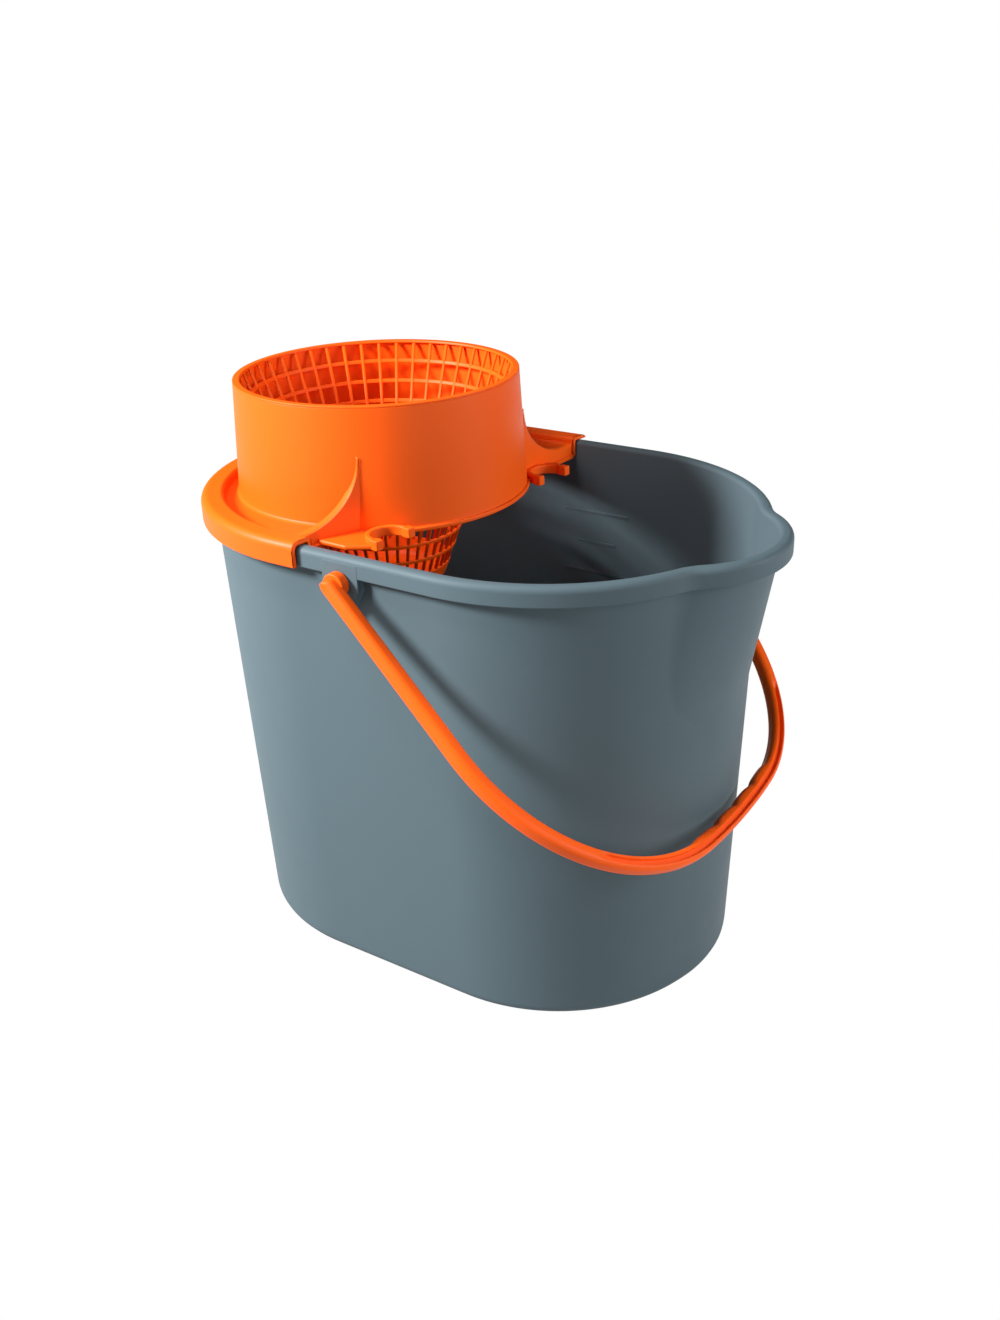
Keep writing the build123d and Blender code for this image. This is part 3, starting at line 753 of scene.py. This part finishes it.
def trough_shell(sizes, bucket):
    """The trough's floor between the collar and the rim cover, from plate to plate.

    One parameter runs round the collar's back, the other from the collar out to the
    cover. The floor is level, with a hollow quarter circle along either side, and rises
    as a parabola to the top edge of each end plate.
    """
    round_steps, hollow_steps, level_steps = 260, 8, 12
    hollow_share, least_sine = 0.45, 0.2
    axis = np.array([sizes.axis_x, 0.0])
    courses = [plate_course(sizes, bucket, side) for side in SIDES]
    ends = [root for root, aim, reach in courses]
    ends += [root + aim * reach for root, aim, reach in courses]
    turns = [np.arctan2(*(end - axis)[::-1]) - (2 * np.pi if end[1] > 0 else 0) for end in ends]
    share = (1 - np.cos(np.linspace(0, np.pi, round_steps))) / 2
    root_aim = directions(turns[0] + (turns[1] - turns[0]) * share)
    tip_aim = directions(turns[2] + (turns[3] - turns[2]) * share)
    root = axis + (collar_radius(sizes, sizes.web_level) - sizes.wall / 2) * root_aim
    radius = skirt_radius(sizes, bucket)
    away = sizes.axis_x + bucket.end_arc_x
    cosine, sine = tip_aim.T
    bend = -away * cosine + np.sqrt(radius**2 - (away * sine) ** 2)
    flat = radius / np.maximum(np.abs(sine), least_sine)
    distance = np.where(sizes.axis_x + bend * cosine > -bucket.end_arc_x, flat, bend)
    tip = axis + distance[:, None] * tip_aim
    run = np.linalg.norm(tip - root, axis=1)[:, None]
    hollow = np.minimum(sizes.trough_round, hollow_share * run)
    quarter = np.linspace(0, np.pi / 2, hollow_steps)[None, :]
    middle = np.linspace(0, 1, level_steps)[None, 1:-1]
    near_side = hollow * (1 - np.cos(quarter))
    level_part = hollow + (run - 2 * hollow) * middle
    across = np.concatenate([near_side, level_part, run - near_side[:, ::-1]], axis=1) / run
    side_rise = hollow * (1 - np.sin(quarter))
    rise = np.concatenate([side_rise, 0 * level_part, side_rise[:, ::-1]], axis=1)
    height = sizes.web_level + rise
    plan = root[:, None, :] + (tip - root)[:, None, :] * across[..., None]
    edge = plate_top(sizes, bucket, across)
    for end in (0, -1):
        gone = np.linalg.norm(plan - plan[end], axis=-1)
        ramp = np.clip(1 - gone / sizes.ramp, 0, 1) ** 2
        height = np.maximum(height, height + (edge - SHARP - height) * ramp)
    top = np.concatenate([plan, height[..., None]], axis=-1)
    under = top[:, ::-1].copy()
    under[..., 2] = sizes.web_level - sizes.web_thickness
    return shell(np.concatenate([top, under], axis=1))


def at_shares(line, share):
    """Points at shares of a plan line's length."""
    steps = np.linalg.norm(np.diff(line, axis=0), axis=1)
    run = np.concatenate([[0.0], np.cumsum(steps)])
    return np.column_stack([np.interp(share * run[-1], run, line[:, axis]) for axis in range(2)])


def clip_centre(sizes):
    """Centre of a pole clip along and across the turned wringer."""
    reach = sizes.bottom_radius + sizes.clip_offset
    return reach * np.cos(sizes.clip_angle), reach * np.sin(sizes.clip_angle)


def shelf_shell(sizes, side):
    """The shelf between an end plate and its clip, in strips from the ring to its outer edge."""
    arc_start, arc_end, arc_steps = 215, 90, 40
    even_end, even_steps = 0.96, 30
    last_strips = (0.97, 0.985, 1.0)
    seams = np.array([0.0, 0.05, 0.95, 1.0])
    edge_round = 0.0004
    root, end = plate_points(sizes, side)
    corner = in_wringer(sizes, sizes.shelf_x, side * sizes.shelf_y)
    plate_line = np.array([root, root + (end - root) * sizes.shelf_share, corner])
    clip_x, clip_y = clip_centre(sizes)
    middle = (sizes.clip_bore + sizes.clip_wall) / 2
    angle = np.radians(np.linspace(arc_start, arc_end, arc_steps))
    clip_end = clip_y + sizes.clip_mouth / 2 + sizes.nub_width
    clip_along = np.append(clip_x + middle * np.cos(angle), clip_x)
    clip_across = np.append(clip_y + middle * np.sin(angle), clip_end)
    clip_line = in_wringer(sizes, clip_along, side * clip_across).T
    share = np.append(np.linspace(0, even_end, even_steps), last_strips)
    start = at_shares(plate_line, share)[:, None]
    run = at_shares(clip_line, share)[:, None] - start
    strip = start + run * np.append(seams, seams[::-1])[:, None]
    edge = edge_round * (share == last_strips[-1])[:, None]
    low = np.repeat(sizes.bottom + edge, len(seams), axis=1)
    high = np.repeat(sizes.bottom + sizes.bead_height - edge, len(seams), axis=1)
    return shell(grid(strip[..., 0], strip[..., 1], np.concatenate([low, high], axis=1)))


def clip_shells(sizes, side):
    """A pole clip: a rounded bar carried round a half ring, with a square nub at each end."""
    ring_steps, nub_round = 60, 0.001
    middle = (sizes.clip_bore + sizes.clip_wall) / 2
    clip_x, clip_y = clip_centre(sizes)
    centre = in_wringer(sizes, clip_x, side * clip_y)
    top = sizes.bottom + sizes.clip_height
    bar = (sizes.clip_wall, sizes.clip_height)
    section = rectangle((middle, (sizes.bottom + top) / 2), bar, FINE_EDGE, SOFT_EDGE)
    angle = sizes.turned + np.linspace(np.pi / 2, 3 * np.pi / 2, ring_steps)[:, None]
    ring = grid(
        centre[0] + section[:, 0] * np.cos(angle),
        centre[1] + section[:, 0] * np.sin(angle),
        section[:, 1],
    )
    shells = [shell(ring)]
    first = np.array([np.cos(sizes.turned), np.sin(sizes.turned), 0.0])
    second = np.array([-first[1], first[0], 0.0])
    nub_x = sizes.nub_length / 2 - sizes.nub_overlap
    for hand in (-1, 1):
        nub_y = hand * (sizes.clip_mouth + sizes.nub_width) / 2
        outline = rectangle((nub_x, nub_y), (sizes.nub_length, sizes.nub_width), nub_round)
        nub = prism(outline, sizes.bottom, top, FINE_EDGE)
        shells.append(shell(placed(nub, (*centre, 0), first, second, (0, 0, 1))))
    return shells


def cone_corner(sizes, collar, level, depth, edge):
    """Corner of a turned line at a height, at a depth in the lattice cone's wall."""
    share = (level - sizes.bottom) / (collar.top - sizes.bottom)
    radius = sizes.bottom_radius + (sizes.top_radius - sizes.bottom_radius) * share
    return radius - depth, level, edge


def basket_shells(sizes, collar):
    """The basket: flange, cup, rings of the lattice and upright ribs, all turned lines or bars."""
    seam, core, cup_run = 0.0001, 0.002, 0.005
    wall = sizes.wall
    foot = sizes.bottom + sizes.solid_band
    half = sizes.ring_height / 2
    lip = collar.top - sizes.top_band
    pitch = (lip + half - foot) / sizes.rows
    flange = profile(
        [
            (collar.top_radius, collar.top, SHARP),
            (collar.top_radius, sizes.top, sizes.flange_round),
            cone_corner(sizes, collar, sizes.top, wall, sizes.flange_round),
            cone_corner(sizes, collar, lip, wall, sizes.flange_round),
            cone_corner(sizes, collar, lip, 0.0, seam),
            (sizes.top_radius, collar.top, seam),
        ]
    )
    shells = [revolve(flange, collar.axis_x, ROUND_COUNT)]
    for row in range(1, sizes.rows):
        level = foot + row * pitch
        corners = ((level - half, 0.0), (level + half, 0.0), (level + half, wall), (level - half, wall))
        ring = profile([cone_corner(sizes, collar, *corner, sizes.bar_round) for corner in corners])
        shells.append(revolve(ring, collar.axis_x, LATTICE_COUNT))
    cup = profile(
        [
            (core, sizes.bottom, 0),
            (sizes.bottom_radius, sizes.bottom, sizes.bottom_round),
            cone_corner(sizes, collar, foot + half, 0.0, sizes.bar_round),
            cone_corner(sizes, collar, foot + half, wall, sizes.bar_round),
            cone_corner(sizes, collar, sizes.bottom + wall, wall, sizes.bottom_round - wall),
            (core, sizes.bottom + wall, 0),
        ],
        closed=False,
    )
    shells.append(revolve(fine(cup, cup_run), collar.axis_x, LATTICE_COUNT, close_rows=False))
    rib_ends = np.array([cone_corner(sizes, collar, level, 0.0, 0.0) for level in (foot, lip)])
    section = rectangle((-wall / 2 - sizes.rib_proud, 0), (wall, sizes.rib_width), sizes.bar_round)
    reach, sideways = rib_ends[:, :1] + section[:, 0], section[:, 1]
    for index in range(sizes.ribs):
        at = 2 * np.pi * (index + 0.5) / sizes.ribs
        bar = grid(
            collar.axis_x + reach * np.cos(at) - sideways * np.sin(at),
            reach * np.sin(at) + sideways * np.cos(at),
            rib_ends[:, 1:2],
        )
        shells.append(shell(bar))
    return shells


def bail_path(sizes):
    """Centre line of the bail in its plane: points, outward normals and place along the grip.

    Two splayed straight arms run into two bends and a wide sweep, all tangent to one
    another. The arms get a place far off the grip. The bends' position comes last.
    """
    arm_steps, bend_steps, sweep_steps = 40, 80, 240
    off_grip = -1.0
    end_x = sizes.reach - sizes.end_radius
    bend_radius = sizes.corner_radius
    corner_y = sizes.half_width - bend_radius
    corner_x = end_x + np.sqrt((sizes.end_radius - bend_radius) ** 2 - corner_y**2)
    corner_angle = np.arctan2(corner_y, corner_x - end_x)
    rise = sizes.root_half_width - corner_y
    splay = np.arcsin(bend_radius / np.hypot(corner_x, rise)) - np.arctan2(rise, corner_x)
    bend = np.linspace(-np.pi / 2 - splay, -corner_angle, bend_steps)
    sweep = np.linspace(-corner_angle, corner_angle, sweep_steps)[1:-1]
    bend_normal, sweep_normal = directions(bend), directions(sweep)
    bend_points = (corner_x, -corner_y) + bend_radius * bend_normal
    sweep_points = (end_x, 0.0) + sizes.end_radius * sweep_normal
    root = np.array([0.0, -sizes.root_half_width])
    share = np.linspace(0, 1, arm_steps, endpoint=False)[:, None]
    points = np.vstack([root + (bend_points[0] - root) * share, bend_points])
    normals = np.vstack([np.tile(bend_normal[0], (arm_steps, 1)), bend_normal])
    bend_place = -corner_angle * sizes.end_radius - bend_radius * (-corner_angle - bend)
    place = np.concatenate([np.full(arm_steps, off_grip), bend_place])
    mirror = np.array([1.0, -1.0])
    all_points = np.vstack([points, sweep_points, points[::-1] * mirror])
    all_normals = np.vstack([normals, sweep_normal, normals[::-1] * mirror])
    grip = np.concatenate([place, sweep * sizes.end_radius, -place[::-1]])
    return all_points, all_normals, grip, corner_x


def bail_shell(sizes, bucket):
    """The bail's bar: a rounded section carried along the centre line.

    Grooves sink into both faces past the bends, finger swells bulge the inner side of
    the grip, and the arms' ends are half round.
    """
    section_run, groove_edge, groove_run = 0.0003, 0.0005, 0.006
    tip_start, tip_end, tip_steps = 84, 8, 10
    points, normals, grip, corner_x = bail_path(sizes)
    half_width, half_depth = sizes.width / 2, sizes.depth / 2
    corners = rectangle((0, 0), (sizes.width, sizes.depth), sizes.bar_round)
    across, deep = fine(np.vstack([corners, corners[:1]]), section_run)[:-1].T
    on_face = np.abs(deep) > half_depth / 2
    groove = on_face * smooth_step((sizes.groove_width / 2 - np.abs(across)) / groove_edge + 0.5)
    started = smooth_step((points[:, :1] - corner_x - sizes.groove_start) / groove_run)
    floor = np.sign(deep) * (half_depth - sizes.groove_depth)
    depth = deep + (floor - deep) * groove * started
    local = (grip / sizes.bump_pitch + sizes.bumps / 2) % 1 - 0.5
    on_grip = np.abs(grip) < sizes.bumps * sizes.bump_pitch / 2
    half_bump = (1 - sizes.bump_gap / sizes.bump_pitch) / 2
    swell = sizes.bump_height * np.clip(1 - np.abs(local / half_bump) ** 3, 0, 1) * on_grip
    inner_side = np.clip(-across / half_width, 0, 1) * np.clip(1 - (deep / half_depth) ** 4, 0, 1)
    wide = across - swell[:, None] * inner_side
    rows = grid(points[:, :1] + normals[:, :1] * wide, points[:, 1:] + normals[:, 1:] * wide, depth)
    angle = np.radians(np.linspace(tip_start, tip_end, tip_steps))[:, None]
    tips = []
    for end in (0, -1):
        tip = np.repeat(rows[end][None], tip_steps, axis=0)
        tip[..., 0] = -half_depth * np.sin(angle)
        tip[..., 2] *= np.cos(angle)
        tips.append(tip)
    rows = np.concatenate([tips[0], rows, tips[1][::-1]])
    cosine, sine = np.cos(sizes.rest_angle), np.sin(sizes.rest_angle)
    origin = (bucket.pivot_x, 0, bucket.pivot_height)
    return shell(placed(rows, origin, (cosine, 0, -sine), (0, 1, 0), (sine, 0, cosine)))


def hub_shell(sizes, bucket, side):
    """A hub with its pivot pin: a line (radius, across) turned about the pivot axis."""
    core, count = 0.0008, 64
    face = rim_radius(bucket) + bucket.rim_overhang
    start = face - bucket.ear_plate - sizes.pin_stub
    hub = face + sizes.side_gap
    end = sizes.root_half_width - sizes.width / 2 + sizes.bar_round
    line = profile(
        [
            (core, start, 0),
            (sizes.pin_radius, start, CREASE),
            (sizes.pin_radius, hub, SHARP),
            (sizes.hub_radius, hub, sizes.hub_round),
            (sizes.hub_radius, end, sizes.hub_round),
            (core, end, 0),
        ],
        closed=False,
    )
    origin = (bucket.pivot_x, 0, bucket.pivot_height)
    return shell(placed(turned(line, count), origin, (1, 0, 0), (0, 0, 1), (0, side, 0)))


def feed(tree, node, inputs):
    """Set a node's inputs, by name or number, to values or link them to other nodes' outputs."""
    for key, value in inputs.items():
        if isinstance(value, bpy.types.NodeSocket):
            tree.links.new(value, node.inputs[key])
        else:
            node.inputs[key].default_value = value


def add_node(tree, kind, inputs, **settings):
    """A new node with its settings and its inputs."""
    node = tree.nodes.new(kind)
    for name, value in settings.items():
        setattr(node, name, value)
    feed(tree, node, inputs)
    return node


def plastic_group():
    """Node group that varies a moulded plastic: colour, roughness and fine grain height."""
    name = "Moulded plastic"
    if name in bpy.data.node_groups:
        return bpy.data.node_groups[name]
    film_spread = 0.12
    tree = bpy.data.node_groups.new(name, "ShaderNodeTree")
    for direction, label, kind in (
        ("INPUT", "Colour", "NodeSocketColor"),
        ("INPUT", "Shade", "NodeSocketColor"),
        ("INPUT", "Roughness", "NodeSocketFloat"),
        ("INPUT", "Mottle", "NodeSocketFloat"),
        ("OUTPUT", "Colour", "NodeSocketColor"),
        ("OUTPUT", "Roughness", "NodeSocketFloat"),
        ("OUTPUT", "Height", "NodeSocketFloat"),
    ):
        tree.interface.new_socket(name=label, in_out=direction, socket_type=kind)
    given = tree.nodes.new("NodeGroupInput").outputs
    place = tree.nodes.new("ShaderNodeTexCoord").outputs["Object"]
    flow, film, grain = (
        add_node(tree, "ShaderNodeTexNoise", {"Vector": place, "Scale": scale, "Detail": detail})
        for scale, detail in ((9.0, 3.0), (60.0, 4.0), (1400.0, 2.0))
    )
    shares = {0: flow.outputs["Fac"], 1: given["Mottle"]}
    amount = add_node(tree, "ShaderNodeMath", shares, operation="MULTIPLY")
    colours = {"Factor": amount.outputs["Value"], "A": given["Colour"], "B": given["Shade"]}
    mix = add_node(tree, "ShaderNodeMix", colours, data_type="RGBA")
    terms = {0: film.outputs["Fac"], 1: film_spread, 2: given["Roughness"]}
    spread = add_node(tree, "ShaderNodeMath", terms, operation="MULTIPLY_ADD")
    results = {
        "Colour": mix.outputs["Result"],
        "Roughness": spread.outputs["Value"],
        "Height": grain.outputs["Fac"],
    }
    add_node(tree, "NodeGroupOutput", results)
    return tree


def plastic(name, tint, roughness, specular, grain, mottle):
    """A moulded plastic in one colour, or the one already made under that name."""
    if name in bpy.data.materials:
        return bpy.data.materials[name]
    shade, grain_depth = 0.8, 0.0002
    material = bpy.data.materials.new(name)
    material.use_nodes = True
    tree = material.node_tree
    look = {
        "Colour": (*tint, 1.0),
        "Shade": (*(shade * channel for channel in tint), 1.0),
        "Roughness": roughness,
        "Mottle": mottle,
    }
    surface = tree.nodes.new("ShaderNodeGroup")
    surface.node_tree = plastic_group()
    feed(tree, surface, look)
    relief = {"Strength": grain, "Distance": grain_depth, "Height": surface.outputs["Height"]}
    bump = add_node(tree, "ShaderNodeBump", relief)
    shown = {
        "Base Color": surface.outputs["Colour"],
        "Roughness": surface.outputs["Roughness"],
        "Specular IOR Level": specular,
        "Normal": bump.outputs["Normal"],
    }
    feed(tree, tree.nodes["Principled BSDF"], shown)
    return material


def grey_plastic(finish):
    """The bucket's plastic."""
    roughness = finish.grey_roughness
    return plastic("Grey plastic", finish.grey, roughness, finish.specular, grain=0.06, mottle=0.3)


def orange_plastic(finish):
    """The wringer's and the handle's plastic."""
    roughness = finish.orange_roughness
    return plastic("Orange plastic", finish.orange, roughness, finish.specular, grain=0.03, mottle=0.15)


class MOPBUCKET_OT_bucket(bpy.types.Operator):
    """Build the grey bucket with its ears, level marks and foot ribs"""

    bl_idname = "mopbucket.bucket"
    bl_label = "Bucket"

    def execute(self, context):
        sizes = context.scene.bucket_sizes
        shells = [bucket_shell(sizes)] + mark_shells(sizes) + rib_shells(sizes)
        for side in SIDES:
            shells += ear_shells(sizes, side)
        material = grey_plastic(context.scene.bucket_finish)
        make_piece("bucket", shells, material, "bucket", "grey_plastic", "bucket_body")
        return {"FINISHED"}


class MOPBUCKET_OT_collar(bpy.types.Operator):
    """Build the wringer's collar with its rim cover, trough, end plates, shelves and pole clips"""

    bl_idname = "mopbucket.collar"
    bl_label = "Wringer collar"

    def execute(self, context):
        sizes = context.scene.collar_sizes
        bucket = context.scene.bucket_sizes
        shells = [ring_shell(sizes), cover_shell(sizes, bucket), trough_shell(sizes, bucket)]
        for side in SIDES:
            shells.append(plate_shell(sizes, bucket, side))
            shells.append(shelf_shell(sizes, side))
            shells += clip_shells(sizes, side)
        material = orange_plastic(context.scene.bucket_finish)
        make_piece("collar", shells, material, "wringer", "orange_plastic", "wringer_collar")
        return {"FINISHED"}


class MOPBUCKET_OT_basket(bpy.types.Operator):
    """Build the wringer's lattice basket"""

    bl_idname = "mopbucket.basket"
    bl_label = "Wringer basket"

    def execute(self, context):
        shells = basket_shells(context.scene.basket_sizes, context.scene.collar_sizes)
        material = orange_plastic(context.scene.bucket_finish)
        make_piece("basket", shells, material, "wringer", "orange_plastic", "wringer_basket")
        return {"FINISHED"}


class MOPBUCKET_OT_bail(bpy.types.Operator):
    """Build the bail handle with its hubs and pivot pins"""

    bl_idname = "mopbucket.bail"
    bl_label = "Bail handle"

    def execute(self, context):
        sizes = context.scene.bail_sizes
        bucket = context.scene.bucket_sizes
        shells = [bail_shell(sizes, bucket)] + [hub_shell(sizes, bucket, side) for side in SIDES]
        material = orange_plastic(context.scene.bucket_finish)
        make_piece("bail", shells, material, "bail", "orange_plastic", "bail_handle")
        return {"FINISHED"}


def seen_white(tree):
    """A mask that is one for what the camera sees, also in a reflection or through a clear piece."""
    path = tree.nodes.new("ShaderNodeLightPath").outputs
    total = path["Is Camera Ray"]
    for label in ("Is Glossy Ray", "Is Transmission Ray"):
        either = add_node(tree, "ShaderNodeMath", {0: total, 1: path[label]}, operation="MAXIMUM")
        total = either.outputs["Value"]
    return total


def add_floor():
    """A wide floor that shows white and without shadow, and throws light back at the object."""
    size, level = 4.0, -0.0002
    corners = [(-size, -size, level), (size, -size, level), (size, size, level), (-size, size, level)]
    mesh = bpy.data.meshes.new("floor")
    mesh.from_pydata(corners, [], [(0, 1, 2, 3)])
    floor = bpy.data.objects.new("floor", mesh)
    bpy.context.scene.collection.objects.link(floor)
    material = bpy.data.materials.new("Floor")
    material.use_nodes = True
    tree = material.node_tree
    shader = tree.nodes["Principled BSDF"]
    feed(tree, shader, {"Base Color": (0.35, 0.35, 0.35, 1.0), "Roughness": 0.9})
    white = add_node(tree, "ShaderNodeEmission", {"Color": WHITE})
    choice = {"Fac": seen_white(tree), 1: shader.outputs["BSDF"], 2: white.outputs["Emission"]}
    mix = add_node(tree, "ShaderNodeMixShader", choice)
    feed(tree, tree.nodes["Material Output"], {"Surface": mix.outputs["Shader"]})
    mesh.materials.append(material)


def set_world(ambient):
    """White for the camera and an even, dimmer light for everything else."""
    world = bpy.data.worlds.new("Studio")
    bpy.context.scene.world = world
    world.use_nodes = True
    tree = world.node_tree
    path = tree.nodes.new("ShaderNodeLightPath").outputs
    strengths = {"Factor": path["Is Camera Ray"], "A": ambient, "B": 1.0}
    level = add_node(tree, "ShaderNodeMix", strengths)
    feed(tree, tree.nodes["Background"], {"Color": WHITE, "Strength": level.outputs["Result"]})


def aimed(position, target, roll=0.0):
    """Matrix of an object at a position that looks at a target, rolled about its view."""
    position, target = np.array(position), np.array(target)
    back = unit(position - target)
    side = unit(np.cross((0.0, 0.0, 1.0), back))
    upward = np.cross(back, side)
    first = side * np.cos(roll) + upward * np.sin(roll)
    second = upward * np.cos(roll) - side * np.sin(roll)
    matrix = np.eye(4)
    matrix[:3] = np.column_stack([first, second, back, position])
    return Matrix(matrix.tolist())


def add_lights(target):
    """Soft boxes: a key at the camera's left, one overhead and two weak ones at its right."""
    for name, position, size, energy in (
        ("key", (-0.6, -0.7, 0.78), 0.25, 25.0),
        ("top", (-0.25, -0.5, 1.35), 0.25, 7.0),
        ("fill", (1.15, -0.5, 0.5), 0.5, 3.5),
        ("edge", (1.1, 0.4, 0.55), 0.5, 8.0),
    ):
        light = bpy.data.lights.new(name, "AREA")
        light.shape = "SQUARE"
        light.size = size
        light.energy = energy
        lamp = bpy.data.objects.new(name, light)
        lamp.matrix_world = aimed(position, target)
        bpy.context.scene.collection.objects.link(lamp)


def add_camera(settings):
    """The camera, placed round its target by azimuth, elevation and distance."""
    azimuth, elevation = settings.azimuth, settings.elevation
    level = np.cos(elevation)
    back = np.array([np.sin(azimuth) * level, -np.cos(azimuth) * level, np.sin(elevation)])
    target = np.array(settings.target)
    camera_data = bpy.data.cameras.new("camera")
    camera_data.lens = settings.lens
    camera_data.clip_start = 0.01
    camera = bpy.data.objects.new("camera", camera_data)
    camera.matrix_world = aimed(target + settings.distance * back, target, settings.roll)
    bpy.context.scene.collection.objects.link(camera)
    bpy.context.scene.camera = camera


class MOPBUCKET_OT_stage(bpy.types.Operator):
    """Set the floor, the lights, the white surroundings and the camera"""

    bl_idname = "mopbucket.stage"
    bl_label = "Stage"

    def execute(self, context):
        settings = context.scene.bucket_stage
        add_floor()
        set_world(settings.ambient)
        add_lights(settings.target)
        add_camera(settings)
        context.scene.view_settings.view_transform = "Standard"
        return {"FINISHED"}


class MOPBUCKET_PT_panel(bpy.types.Panel):
    """Lists the operators and the sizes"""

    bl_idname = "MOPBUCKET_PT_panel"
    bl_label = "Mop bucket"
    bl_space_type = "VIEW_3D"
    bl_region_type = "UI"
    bl_category = "Mop bucket"

    def draw(self, context):
        for operator in OPERATORS:
            self.layout.operator(operator.bl_idname)
        for name in GROUPS:
            box = self.layout.box()
            settings = getattr(context.scene, name)
            for field in settings.__annotations__:
                box.prop(settings, field)


OPERATORS = (
    MOPBUCKET_OT_bucket,
    MOPBUCKET_OT_collar,
    MOPBUCKET_OT_basket,
    MOPBUCKET_OT_bail,
    MOPBUCKET_OT_stage,
)
GROUPS = {
    "bucket_sizes": BucketSizes,
    "collar_sizes": CollarSizes,
    "basket_sizes": BasketSizes,
    "bail_sizes": BailSizes,
    "bucket_finish": FinishSettings,
    "bucket_stage": StageSettings,
}
CLASSES = tuple(GROUPS.values()) + OPERATORS + (MOPBUCKET_PT_panel,)


def register():
    """Register the classes and put the settings on the scene."""
    for item in CLASSES:
        bpy.utils.register_class(item)
    for name, group in GROUPS.items():
        setattr(bpy.types.Scene, name, bpy.props.PointerProperty(type=group))


def unregister():
    """Take the settings and the classes away again."""
    for name in GROUPS:
        delattr(bpy.types.Scene, name)
    for item in reversed(CLASSES):
        bpy.utils.unregister_class(item)


def main():
    register()
    bpy.ops.mopbucket.bucket()
    bpy.ops.mopbucket.collar()
    bpy.ops.mopbucket.basket()
    bpy.ops.mopbucket.bail()
    bpy.ops.mopbucket.stage()


if __name__ == "__main__":
    main()
